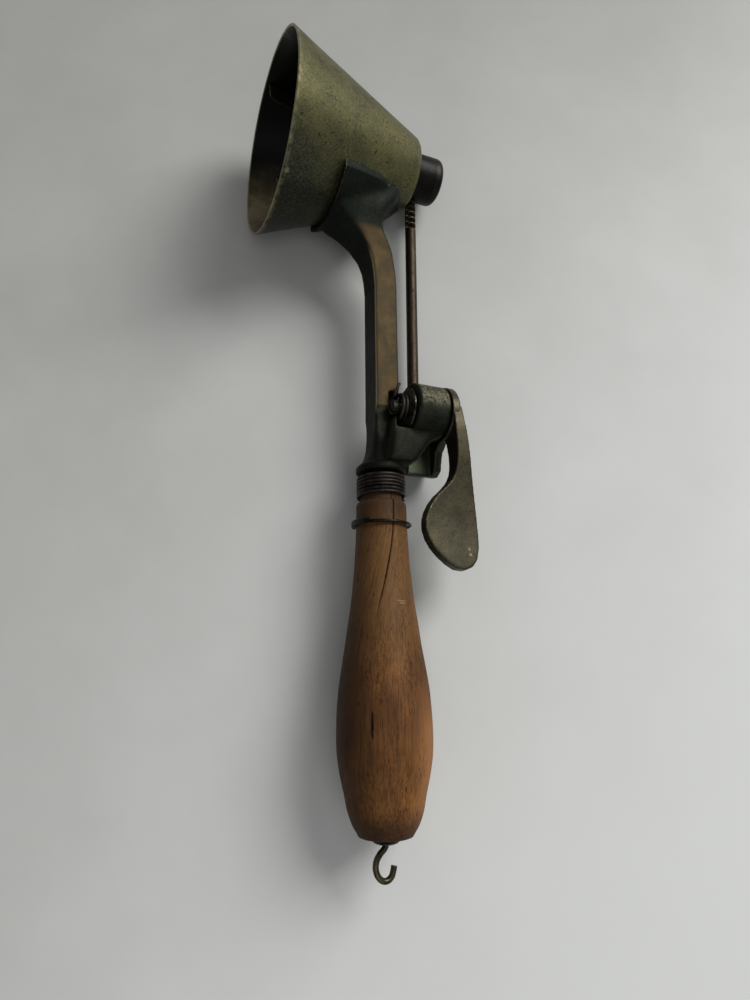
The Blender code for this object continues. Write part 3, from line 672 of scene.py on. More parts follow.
@dataclass(frozen=True)
class CastingPatina(AgedMetal):
    """Dark casting with a file-finished tan front on its arm."""

    tan: Colour = tint(63, 51, 32)
    dull_tan: Colour = tint(53, 45, 30)
    stain: Colour = tint(38, 39, 29)
    green: Colour = tint(19, 28, 25)
    bright: Colour = tint(140, 128, 102)
    # rubbed: pale worn metal; on the barrel's top it is also a painted highlight.
    rubbed: Colour = tint(116, 110, 90)
    nick: Colour = tint(210, 208, 196)
    forward: Vector = Vector((0.0, -1.0, 0.0))

    def paint(self, recipe: Recipe) -> Socket:
        """Dark skin, greener on the saddle, and painted shade on the web below the barrel."""
        height = recipe.axis(2)
        colour = recipe.coat(super().paint(recipe), self.green,
                             recipe.spread(height, 150.0, 172.0),
                             recipe.cloud(0.3, 0.62, 4.0, shift=7.0))
        # Painted shade: the web below the barrel is coated nearly black in the speck colour.
        web = recipe.band(height, (76.0, 78.0), (86.0, 92.0))
        return recipe.coat(colour, self.speck_and_shade, web, 0.85)

    def exposed(self, recipe: Recipe) -> Socket:
        """Wear on the saddle's rim and the barrel's edges only."""
        high = recipe.spread(recipe.axis(2), 166.0, 168.0)
        hub = recipe.spread(recipe.axis(0), 6.6, 7.0)
        return recipe.times(super().exposed(recipe), recipe.sum("MAXIMUM", high, hub))

    def arm_front(self, recipe: Recipe, colour: Socket) -> Socket:
        """Tan on the arm's flat front, with a thin worn line down its left edge."""
        across, height = recipe.axis(0), recipe.axis(2)
        tan = recipe.blend(recipe.cloud(0.4, 0.62, 9.0, shift=2.0), self.tan, self.dull_tan)
        marks = recipe.cloud(0.55, 0.7, 6.0, 5.0, 0.65, (1.0, 1.0, 0.45), 13.0)
        dots = recipe.cloud(0.60, 0.70, 0.5, 3.0, 0.6, shift=29.0)
        tan = recipe.coat(recipe.coat(tan, self.stain, marks, 0.6), self.stain, dots, 0.3)
        corner = recipe.sum("MAXIMUM", recipe.less(0.6, across), 0.0)
        low = recipe.spread(recipe.less(height, recipe.times(corner, corner, 0.22)), 98.6, 99.6)
        head = recipe.fall(recipe.plus(height, recipe.blotches(2.0)), 162.0, 164.6)
        squarely = recipe.facing(self.forward)
        front = recipe.spread(squarely, 0.72, 0.9)
        span = recipe.times(low, head, recipe.fall(across, 5.5, 6.2))
        colour = recipe.coat(colour, tan, front, span)
        line = recipe.less(recipe.spread(squarely, 0.2, 0.45), front)
        return recipe.coat(colour, self.bright, line, recipe.fall(across, -1.0, 0.0),
                           recipe.band(height, (97.0, 101.0), (150.0, 158.0)), 0.8)

    def mark(self, recipe: Recipe, colour: Socket) -> Socket:
        """Pale worn specks over the barrel's top, lightened there as a painted highlight too, and
        a small bright nick on the collar.
        """
        across, height = recipe.axis(0), recipe.axis(2)
        # Painted highlight over the upper side of the barrel, broken into worn specks.
        colour = recipe.coat(self.arm_front(recipe, colour), self.rubbed,
                             recipe.spread(across, 7.6, 8.2), recipe.spread(height, 97.0, 102.5),
                             recipe.cloud(0.40, 0.60, 0.8, 5.0, 0.75, shift=33.0),
                             recipe.fall(height, 108.0, 110.0), 0.8)
        return recipe.blend(recipe.spot((-4.9, -4.6, 82.3), 0.4), colour, self.nick)


@dataclass(frozen=True)
class CapBlack(AgedMetal):
    """Dark cap with a rubbed ring behind a groove at its outer end."""

    groove: float = 19.7
    rubbed: Colour = tint(40, 37, 32)

    def mark(self, recipe: Recipe, colour: Socket) -> Socket:
        """The groove, and brown metal beyond it."""
        across = recipe.axis(0)
        away = recipe.sum("ABSOLUTE", recipe.less(across, self.groove))
        colour = recipe.coat(colour, self.rubbed,
                             recipe.spread(across, self.groove, self.groove + 0.2),
                             recipe.cloud(0.3, 0.6, 3.0, shift=8.0), 0.7)
        return recipe.coat(colour, self.speck_and_shade, recipe.fall(away, 0.1, 0.3), 0.9)


@dataclass(frozen=True)
class LeverBronze(AgedMetal):
    """Handled bronze of the thumb lever, with scuffs and pale chips."""

    scuff: Colour = tint(40, 39, 31)
    dark: Colour = tint(54, 61, 49)
    chipped: Colour = tint(124, 116, 88)

    def paint(self, recipe: Recipe) -> Socket:
        """Bronze plate in front and a dark crank behind."""
        behind = recipe.spread(recipe.axis(1), -6.6, -4.0)
        return recipe.blend(behind, super().paint(recipe), self.dark)

    def mark(self, recipe: Recipe, colour: Socket) -> Socket:
        """Scuffs in two directions, a dark cloud on the pad and pale chips."""
        for turn, shift in ((0.5, 31.0), (-0.7, 47.0)):
            mapping = recipe.add("ShaderNodeMapping")
            mapping.inputs["Rotation"].default_value = (0.0, turn, 0.0)
            recipe.join(recipe.place, mapping.inputs["Vector"])
            lines = recipe.cloud(0.60, 0.68, 1.3, 2.0, 0.5, (3.0, 1.0, 0.28), shift,
                                 mapping.outputs["Vector"])
            colour = recipe.coat(colour, self.scuff, lines,
                                 recipe.cloud(0.48, 0.6, 6.0, shift=shift), 0.55)
        colour = recipe.coat(colour, self.scuff, recipe.spot((19.5, -10.5, 58.5), 5.0),
                             recipe.cloud(0.46, 0.6, 1.1, 4.0, 0.7, shift=17.0), 0.65)
        for centre, size in (((24.0, -10.5, 55.2), 0.8), ((24.4, -10.5, 53.4), 0.7),
                             ((23.2, -14.0, 88.6), 0.35)):
            colour = recipe.coat(colour, self.chipped, recipe.spot(centre, size), 0.6)
        return colour


@dataclass(frozen=True)
class TurnedWood:
    """Oiled hardwood with open pores, a seasoning crack, darker ends, painted shade down its left
    side and a painted highlight low on its right.
    """

    name: str
    base: Colour = tint(119, 78, 37)
    ruddy: Colour = tint(86, 52, 23)
    faded: Colour = tint(98, 75, 45)
    pale: Colour = tint(156, 108, 66)
    pore: Colour = tint(26, 14, 6)
    # Dark colour of fibres and fuzz, also used for painted shade on the left side and for the
    # darker ends.
    grime_and_shade: Colour = tint(44, 28, 13)
    crack: Colour = tint(10, 5, 3)
    scratched: Colour = tint(168, 130, 92)

    def build(self, tool: ToolFrame) -> bpy.types.Material:
        """Make the material, with its grain on the handle's own grain attribute."""
        recipe = Recipe(self.name, tool)
        grain = recipe.attribute("grain", "Vector")
        fibre = recipe.blotches(0.5, 5.0, 0.65, (1.0, 1.0, 0.035), source=grain)
        figure, cloud, pores, where, fuzz = (
            recipe.cloud(low, high, size, detail, rough, (1.0, 1.0, squeeze), shift, grain)
            for low, high, size, detail, rough, squeeze, shift in (
                (0.42, 0.66, 3.2, 3.0, 0.55, 0.07, 6.0), (0.36, 0.66, 13.0, 3.0, 0.55, 0.6, 2.0),
                (0.57, 0.66, 0.3, 2.0, 0.5, 0.12, 11.0), (0.40, 0.62, 5.0, 2.0, 0.5, 0.3, 19.0),
                (0.40, 0.62, 0.35, 4.0, 0.8, 0.35, 37.0)))
        pores = recipe.times(pores, where)
        colour = recipe.blend(cloud, self.base, self.ruddy)
        for over, *shares in ((self.ruddy, figure, 0.55),
                              (self.grime_and_shade, recipe.spread(fibre, 0.42, 0.62), 0.55),
                              (self.grime_and_shade, fuzz, 0.3), (self.pore, pores, 0.7)):
            colour = recipe.coat(colour, over, *shares)
        across, height = recipe.axis(0), recipe.axis(2)
        colour = self.hair_crack(recipe, colour, grain, height)
        ragged = recipe.times(recipe.blotches(3.0), 6.0)
        # Both ends are made darker: the butt, and a band at the neck below the binding.
        butt = recipe.fall(recipe.less(height, ragged), -25.5, -18.0)
        neck = recipe.times(recipe.spread(recipe.plus(height, ragged), 60.0, 71.0), 0.95)
        knocks = recipe.cloud(0.73, 0.77, 2.2, 1.0, 0.4, (1.6, 1.6, 0.7), 27.0)
        for over, *shares in ((self.faded, recipe.spread(height, 16.0, 40.0), 0.4),
                              # Painted highlight: the lower right side is lightened in the pale
                              # colour.
                              (self.pale, recipe.spread(across, 0.0, 9.0),
                               recipe.fall(height, 2.0, 22.0), 0.5),
                              # Painted shade: the left side is darkened.
                              (self.grime_and_shade, recipe.fall(across, -13.0, -2.0), 0.68),
                              (self.grime_and_shade, recipe.sum("MAXIMUM", butt, neck), 0.8),
                              (self.pore, knocks, 0.6)):
            colour = recipe.coat(colour, over, *shares)
        for low, shift in ((39.0, 0.0), (38.4, 0.6)):
            colour = self.scratch(recipe, colour, low, shift)
        colour = recipe.blend(recipe.attribute("split", "Fac"), colour, self.crack)
        recipe.carve(fibre, 0.05)
        recipe.carve(recipe.less(1.0, pores), 0.08)
        return recipe.finish(colour, recipe.plus(0.50, recipe.times(fibre, 0.22)), 0.0, 0.14)

    def hair_crack(self, recipe: Recipe, colour: Socket, grain: Socket,
                   height: Socket) -> Socket:
        """Add a broken hair crack beside the open one, along the grain."""
        slant = recipe.sum("DIVIDE", recipe.axis(1, grain), recipe.axis(0, grain))
        wander = recipe.times(recipe.blotches(4.0, 2.0, shift=51.0), 0.12)
        away = recipe.sum("ABSOLUTE", recipe.plus(slant, recipe.plus(wander, 0.38)))
        line = recipe.times(recipe.fall(away, 0.015, 0.045),
                            recipe.cloud(0.40, 0.50, 1.2, 3.0, 0.7, shift=57.0))
        near = recipe.times(recipe.band(height, (18.0, 24.0), (46.0, 52.0)),
                            recipe.spread(recipe.axis(0, grain), 0.0, 2.0))
        return recipe.coat(colour, self.pore, line, near, 0.85)

    def scratch(self, recipe: Recipe, colour: Socket, low: float, shift: float) -> Socket:
        """Add one short pale scratch across the front of the neck."""
        wander = recipe.times(recipe.blotches(1.5, 2.0, shift=shift), 0.8)
        away = recipe.sum("ABSOLUTE", recipe.less(recipe.plus(recipe.axis(2), wander), low + 0.4))
        span = recipe.band(recipe.axis(0), (0.2 + shift, 0.9 + shift), (2.6, 3.4))
        return recipe.coat(colour, self.scratched, recipe.fall(away, 0.08, 0.22), span,
                           recipe.fall(recipe.axis(1), -2.0, -1.0), 0.45)


@dataclass
class Finishes:
    """All the finishes of the disher."""

    tool: ToolFrame

    def __post_init__(self) -> None:
        """Make every material once."""
        grey_edge = tint(96, 92, 78)
        metals = {
            "bowl": BowlBrass(
                "bowl_olive_brass", tint(86, 84, 50), tint(68, 68, 43), tint(26, 28, 17),
                tint(132, 126, 96), metal=0.7, rough=(0.36, 0.52), mottle=7.0, grain=0.7,
                pitting=0.045, dusty=0.34),
            "bowl_inside": BowlInside(
                "bowl_inside_brown", tint(124, 113, 84), tint(92, 80, 56), tint(16, 14, 9),
                tint(30, 27, 19), metal=0.5, rough=(0.30, 0.44), mottle=9.0, grain=0.9,
                dusty=0.0, gloss=0.15),
            "rim": AgedMetal(
                "bowl_rim_worn", tint(128, 120, 90), tint(100, 95, 70), tint(60, 57, 42),
                tint(150, 142, 112), metal=0.8, rough=(0.28, 0.4), mottle=5.0, grain=0.6),
            "casting": CastingPatina(
                "casting_dark_patina", tint(33, 36, 27), tint(21, 27, 22), tint(10, 11, 8),
                tint(92, 82, 60), rough=(0.50, 0.68), mottle=5.0, grain=0.6, pitting=0.06,
                gloss=0.2, edge=(0.52, 0.57), forward=self.tool.along((0.0, -1.0, 0.0))),
            "cap": CapBlack(
                "cap_dark_brown", tint(25, 23, 21), tint(17, 16, 15), tint(9, 8, 8),
                tint(62, 54, 44), metal=0.7, rough=(0.34, 0.5), mottle=4.0, grain=0.7,
                gloss=0.2, dusty=0.05),
            "rod": AgedMetal(
                "rod_bronze", tint(62, 54, 42), tint(46, 40, 31), tint(26, 22, 17),
                tint(92, 84, 68), metal=0.9, rough=(0.42, 0.56), mottle=3.0, grain=0.5,
                stretch=(1.0, 1.0, 0.15), gloss=0.2, dusty=0.05),
            "lever": LeverBronze(
                "lever_bronze", tint(67, 62, 46), tint(54, 51, 40), tint(36, 35, 28),
                tint(108, 98, 76), metal=0.8, rough=(0.32, 0.48), grain=0.6, pitting=0.02,
                gloss=0.25),
            "brass": AgedMetal(
                "scraper_dull_brass", tint(24, 20, 12), tint(18, 15, 9), tint(10, 9, 6),
                tint(26, 22, 14), metal=0.2, rough=(0.5, 0.65), mottle=4.0, dusty=0.0,
                gloss=0.1),
            "steel": AgedMetal(
                "small_steel", tint(38, 36, 30), tint(20, 20, 17), tint(10, 9, 8), grey_edge,
                metal=0.85, rough=(0.34, 0.55), mottle=2.0, grain=0.4, pitting=0.05, gloss=0.2),
            "iron": AgedMetal(
                "binding_iron", tint(24, 19, 18), tint(15, 12, 11), tint(8, 6, 5),
                tint(52, 46, 42), metal=0.6, rough=(0.42, 0.62), mottle=2.5, grain=0.35,
                pitting=0.05, gloss=0.15, dusty=0.0),
            "ring": AgedMetal(
                "ring_green_brass", tint(19, 18, 13), tint(13, 13, 9), tint(7, 7, 5),
                tint(44, 42, 32), rough=(0.36, 0.5), mottle=3.0, grain=0.4, gloss=0.15,
                dusty=0.0),
            "hook": AgedMetal(
                "hook_brass", tint(64, 59, 44), tint(46, 43, 32), tint(24, 22, 15),
                tint(104, 96, 76), metal=0.9, rough=(0.26, 0.4), mottle=3.0, grain=0.4),
            "tang": AgedMetal(
                "tang_iron", tint(32, 27, 24), tint(21, 18, 16), tint(12, 10, 8), grey_edge,
                metal=0.6, rough=(0.5, 0.7), mottle=3.0),
            "wood": TurnedWood("oiled_wood"),
        }
        self.made = {key: finish.build(self.tool) for key, finish in metals.items()}

    def __getitem__(self, key: str) -> bpy.types.Material:
        """A material by its key."""
        return self.made[key]


# --------------------------------------------------------------------------- sub-assemblies


@dataclass
class Assembly:
    """A group of the disher's parts and what they need: the frame, the nodes, the finishes."""

    tool: ToolFrame
    nodes: dict[str, bpy.types.Object]
    finishes: Finishes

    def install(self, piece: bpy.types.Object, body: Body, slot: Slot, node: str,
                *looks: bpy.types.Material) -> None:
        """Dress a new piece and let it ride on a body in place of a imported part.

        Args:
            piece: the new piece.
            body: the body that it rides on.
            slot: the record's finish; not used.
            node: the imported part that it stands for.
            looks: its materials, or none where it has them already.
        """
        if looks:
            piece.data.materials.clear()
            for material in looks:
                piece.data.materials.append(material)
        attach(piece, body.value)
        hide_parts(node)
        LOG.info("%s rides on %s for %s", piece.name, body.value, node)

    def dress(self, material: bpy.types.Material, *names: str) -> None:
        """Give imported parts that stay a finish."""
        for name in names:
            node = self.nodes[name]
            if not node.material_slots:
                node.data.materials.append(material)
            for slot in node.material_slots:
                slot.material = material
            LOG.info("%s keeps its shape", name)

    def along_bowl(self, height: float = 0.0, front: float = 0.0) -> Matrix:
        """Matrix of a piece turned about an axis along X, at a height and in front."""
        return (self.tool.matrix @ Matrix.Translation((0.0, -front, height))
                @ Matrix.Rotation(math.pi / 2, 4, "Y"))


@dataclass
class BowlAssembly(Assembly):
    """The spun cone with its bush, the gear cap and the shaft's nut."""

    axis_z: float = 192.6
    mouth_x: float = -38.4
    mouth_r: float = 32.0
    end_x: float = 12.3
    slope: float = 0.39325
    shoulder: float = 2.6
    wall: float = 0.8
    hole_r: float = 4.4
    cap_r: float = 8.1
    dent: float = 0.10
    bowl_steps: int = 160
    cap_skin: tuple[float, int] = (0.2, 4)

    def radius(self, x: float) -> float:
        """Outer radius at a place along the axis."""
        return self.mouth_r - self.slope * (x - self.mouth_x)

    def side(self, depth: float) -> list[tuple[float, float]]:
        """One face of the wall from the shaft hole to the mouth, as (radius, x).

        Args:
            depth: how far inside the outer face it lies.

        Returns:
            The face's points.
        """
        lean = math.degrees(math.atan(self.slope))
        skew = math.cos(math.radians(lean))
        bend = self.shoulder - depth
        centre_x = self.end_x - self.shoulder
        centre_r = self.radius(centre_x) - self.shoulder / skew
        out = [(self.hole_r, self.end_x - depth), (centre_r * 0.8, self.end_x - depth)]
        out += arc((centre_r, centre_x), bend, 90.0, lean, 8)
        start = out[-1][1]
        for step in range(1, 31):
            x = start + (self.mouth_x + 0.3 - start) * step / 30
            out.append((self.radius(x) - depth / skew, x))
        return out

    def section(self) -> list[tuple[float, float]]:
        """Closed half section of the bowl's wall."""
        outer, inner = self.side(0.0), self.side(self.wall)
        middle = (outer[-1][0] + inner[-1][0]) / 2
        half = (outer[-1][0] - inner[-1][0]) / 2
        rim = [(middle + half * math.cos(a), self.mouth_x + 0.3 - 0.3 * math.sin(a))
               for a in (math.pi * step / 6 for step in range(1, 6))]
        return [*outer, *rim, *reversed(inner), outer[0]]

    def bowl(self) -> None:
        """Spin the cone, wave its rim and dent its side a little, and part its three faces."""
        ob = turn_on_lathe("bowl_cone", self.section(), self.bowl_steps)
        for vert in ob.data.vertices:
            ring = Vector((vert.co.x, vert.co.y, 0.0))
            if ring.length < self.cap_r:
                continue
            near_rim = math.exp(-abs(vert.co.z - self.mouth_x) / 8.0)
            round_it = ring.normalized()
            place = Vector((round_it.x * 2.2, round_it.y * 2.2, vert.co.z * 0.07))
            push = self.dent * noise.noise(place) * (1.0 + 1.5 * near_rim)
            vert.co += round_it * push
        for key in ("bowl", "bowl_inside", "rim"):
            ob.data.materials.append(self.finishes[key])
        for face in ob.data.polygons:
            depth = self.radius(face.center.z) - math.hypot(face.center.x, face.center.y)
            if face.center.z < self.mouth_x + 0.31:
                face.material_index = 2
            elif depth > self.wall * 0.6 and face.normal.z < 0.2:
                face.material_index = 1
        lay_down(ob, self.along_bowl(self.axis_z))
        smooth(ob)
        self.install(ob, Body.FRAME, Slot.BOWL, "cone_bowl")

    def cap(self) -> None:
        """Give the gear cap a soft skin, with its turned side trued up."""
        ob = soft_copy(self.nodes["gear_cap"], "gear_cap_skin", *self.cap_skin)
        centre, axis = self.tool.at((0.0, 0.0, self.axis_z)), self.tool.along((1.0, 0.0, 0.0))
        true_up(ob, centre, axis, self.cap_r, (13.2, 21.2))
        smooth(ob, SOFT_ANGLE)
        self.install(ob, Body.FRAME, Slot.CAP, "gear_cap", self.finishes["cap"])

    def end_nut(self) -> None:
        """Turn the domed nut on the shaft's end."""
        section = [(1.8, 23.3), (3.0, 23.3), (3.1, 23.45), *arc((2.7, 23.8), 0.4, 0.0, 90.0, 5),
                   (2.1, 24.23), (1.8, 24.1), (1.8, 23.3)]
        ob = turn_on_lathe("shaft_nut_turned", section, 64)
        lay_down(ob, self.along_bowl(self.axis_z))
        smooth(ob)
        self.install(ob, Body.SCRAPER, Slot.STEEL, "shaft_end_nut", self.finishes["cap"])

    def build(self) -> None:
        """Make the bowl and dress what turns in it."""
        self.bowl()
        self.cap()
        self.end_nut()
        self.dress(self.finishes["brass"], "shaft_bush", "pinion", "scraper_hub",
                   "scraper_blade_a", "scraper_blade_b")
        self.dress(self.finishes["steel"], "scraper_shaft", "hub_nut")


@dataclass
class FrameAssembly(Assembly):
    """The casting: collar, arm, saddle, web and lever barrel."""

    pivot_y: float = -6.1
    pivot_z: float = 99.0
    barrel_r: float = 8.6
    barrel_x: tuple[float, float] = (7.7, 17.2)
    collar_r: float = 7.7
    collar_z: tuple[float, float] = (79.2, 80.6)
    head_z: tuple[float, float] = (158.0, 164.0)
    foot_z: tuple[float, float] = (81.4, 98.0)
    skin: tuple[float, int] = (0.32, 6)
    melting: int = 220
    pad: tuple[tuple[float, float], ...] = (
        (-18.3, 17.8), (-12.1, 15.8), (-4.5, 12.9), (1.0, 10.3), (5.2, 7.2), (7.9, 4.0),
        (8.8, 0.0))

    def flow(self, place: Vector) -> float:
        """How far a point lies in the flowing head or foot of the arm, from 0 to 1."""
        spot = self.tool.matrix.inverted() @ place
        low, high = self.head_z
        ease = max(0.0, (spot.x + 6.0) * 0.5)
        rim = min(between(spot.x, self.pad) - abs(spot.y) + ease, spot.x - self.pad[0][0])
        head = min((spot.z - low) / (high - low), (rim - 1.0) / 3.0)
        foot_low, foot_high = self.foot_z
        hub = math.hypot(spot.y - self.pivot_y, spot.z - self.pivot_z) - self.barrel_r
        foot = min((foot_high - spot.z) / 4.0, (spot.z - foot_low) / 1.5, (hub + 0.6) / 2.0)
        return min(1.0, max(head, foot, 0.0))

    def build(self) -> None:
        """Skin the casting, let its head and foot flow, and true up its turned faces."""
        ob = soft_copy(self.nodes["frame_casting"], "casting_skin", *self.skin)
        melt(ob, self.flow, self.melting)
        pivot = self.tool.at((0.0, self.pivot_y, self.pivot_z))
        across, up = self.tool.along((1.0, 0.0, 0.0)), self.tool.along((0.0, 0.0, 1.0))
        true_up(ob, pivot, across, self.barrel_r, self.barrel_x)
        true_up(ob, self.tool.at((0.0, 0.0, 0.0)), up, self.collar_r, self.collar_z)
        smooth(ob, SOFT_ANGLE)
        self.install(ob, Body.FRAME, Slot.CASTING, "frame_casting", self.finishes["casting"])


@dataclass
class RackAssembly(Assembly):
    """The rack rod and its cross pin."""

    rod_r: float = 1.9
    axis_x: float = 15.4
    axis_y: float = 4.9
    axis_z: float = 192.6
    lean: float = math.radians(0.7)
    reach: tuple[float, float] = (-101.0, 3.5)
    skin: tuple[float, int] = (0.16, 3)

    def build(self) -> None:
        """Skin the rod round, and dress the pin."""
        ob = soft_copy(self.nodes["rack_rod"], "rack_rod_skin", *self.skin)
        axis = self.tool.along((math.sin(self.lean), 0.0, math.cos(self.lean)))
        centre = self.tool.at((self.axis_x, self.axis_y, self.axis_z))
        true_up(ob, centre, axis, self.rod_r, self.reach, 0.1)
        smooth(ob, SOFT_ANGLE)
        self.install(ob, Body.RACK, Slot.ROD, "rack_rod", self.finishes["rod"])
        self.dress(self.finishes["steel"], "rack_pin")


@dataclass
class LeverAssembly(Assembly):
    """The thumb lever, its pivot, washer and torsion spring."""

    pivot_y: float = -6.1
    pivot_z: float = 99.0
    hub_r: float = 8.8
    hub_x: tuple[float, float] = (18.8, 20.4)
    spring_r: float = 4.4
    spring_wire: float = 1.0
    spring_turns: float = 2.25
    spring_x: float = 5.2
    lever_skin: tuple[float, int] = (0.22, 5)
    shaft_skin: tuple[float, int] = (0.12, 3)
    melting: int = 30
    front: tuple[tuple[float, float], ...] = (
        (45.0, -10.5), (60.0, -10.5), (68.0, -11.1), (76.0, -12.2), (84.0, -13.6),
        (92.0, -14.6), (99.0, -14.85))

    def plate(self, place: Vector) -> float:
        """How far a point lies on the lever's thumb plate, from 0 to 1."""
        spot = self.tool.matrix.inverted() @ place
        if spot.y > -4.0:
            return min(1.0, max(0.0, (88.0 - spot.z) / 3.0))
        return 0.5 if spot.z < 90.0 else max(0.0, 0.5 - (spot.z - 90.0) * 0.2)

    def even_bend(self, ob: bpy.types.Object) -> None:
        """Let the lever's straight runs flow into one long bend."""
        curve = [(point.x, point.y) for point in flowing(
            [(height, y, 0.0) for height, y in self.front], 8)]
        back = self.tool.matrix.inverted()
        for vert in ob.data.vertices:
            place = back @ vert.co
            if self.front[0][0] < place.z < self.front[-1][0]:
                share = min(1.0, (self.front[-1][0] - place.z) / 6.0)
                place.y += share * (between(place.z, curve) - between(place.z, self.front))
                vert.co = self.tool.matrix @ place

    def lever(self) -> None:
        """Skin the lever, with its bend evened and its hub trued up."""
        ob = soft_copy(self.nodes["thumb_lever"], "thumb_lever_skin", *self.lever_skin)
        self.even_bend(ob)
        melt(ob, self.plate, self.melting)
        pivot = self.tool.at((0.0, self.pivot_y, self.pivot_z))
        true_up(ob, pivot, self.tool.along((1.0, 0.0, 0.0)), self.hub_r, self.hub_x)
        smooth(ob, SOFT_ANGLE)
        self.install(ob, Body.LEVER, Slot.LEVER, "thumb_lever", self.finishes["lever"])

    def spring(self) -> None:
        """Bend the torsion spring: one leg, its turns, and the leg to the barrel."""
        pitch, around = self.spring_wire + 0.2, 32
        count = int(self.spring_turns * around)
        turns = []
        for step in range(count + 1):
            angle = 2 * math.pi * step / around
            turns.append(Vector((self.spring_x - pitch * step / around,
                                 self.spring_r * math.cos(angle),
                                 self.spring_r * math.sin(angle))))
        back = (turns[0] - turns[1]).normalized()
        last = turns[-1]
        legs = [last + Vector(step) for step in ((0.1, -0.3, 0.9), (0.9, -0.1, 2.6),
                                                 (1.9, 0.6, 4.4))]
        path = [turns[0] + back * 3.0, turns[0] + back * 1.5, *turns, *legs]
        ob = bend_wire("torsion_spring_wire", path, self.spring_wire)
        lay_down(ob, self.tool.matrix @ Matrix.Translation((0.0, self.pivot_y, self.pivot_z)))
        smooth(ob, SOFT_ANGLE)
        self.install(ob, Body.FRAME, Slot.IRON_WIRE, "torsion_spring", self.finishes["iron"])

    def washer(self) -> None:
        """Turn the washer beside the barrel, with its edges broken."""
        section = [(2.8, 6.02), (6.5, 6.02), (6.75, 6.15), (6.8, 6.35), (6.75, 6.55),
                   (6.5, 6.68), (2.8, 6.68), (2.8, 6.02)]
        ob = turn_on_lathe("spring_washer_turned", section, 72)
        lay_down(ob, self.along_bowl(self.pivot_z, -self.pivot_y))
        smooth(ob)
        self.install(ob, Body.FRAME, Slot.STEEL, "spring_washer", self.finishes["steel"])

    def build(self) -> None:
        """Make the lever and the parts on its pivot."""
        self.lever()
        self.spring()
        self.washer()
        pivot = soft_copy(self.nodes["pivot_shaft"], "pivot_shaft_skin", *self.shaft_skin)
        smooth(pivot, SOFT_ANGLE)
        self.install(pivot, Body.FRAME, Slot.STEEL, "pivot_shaft", self.finishes["steel"])


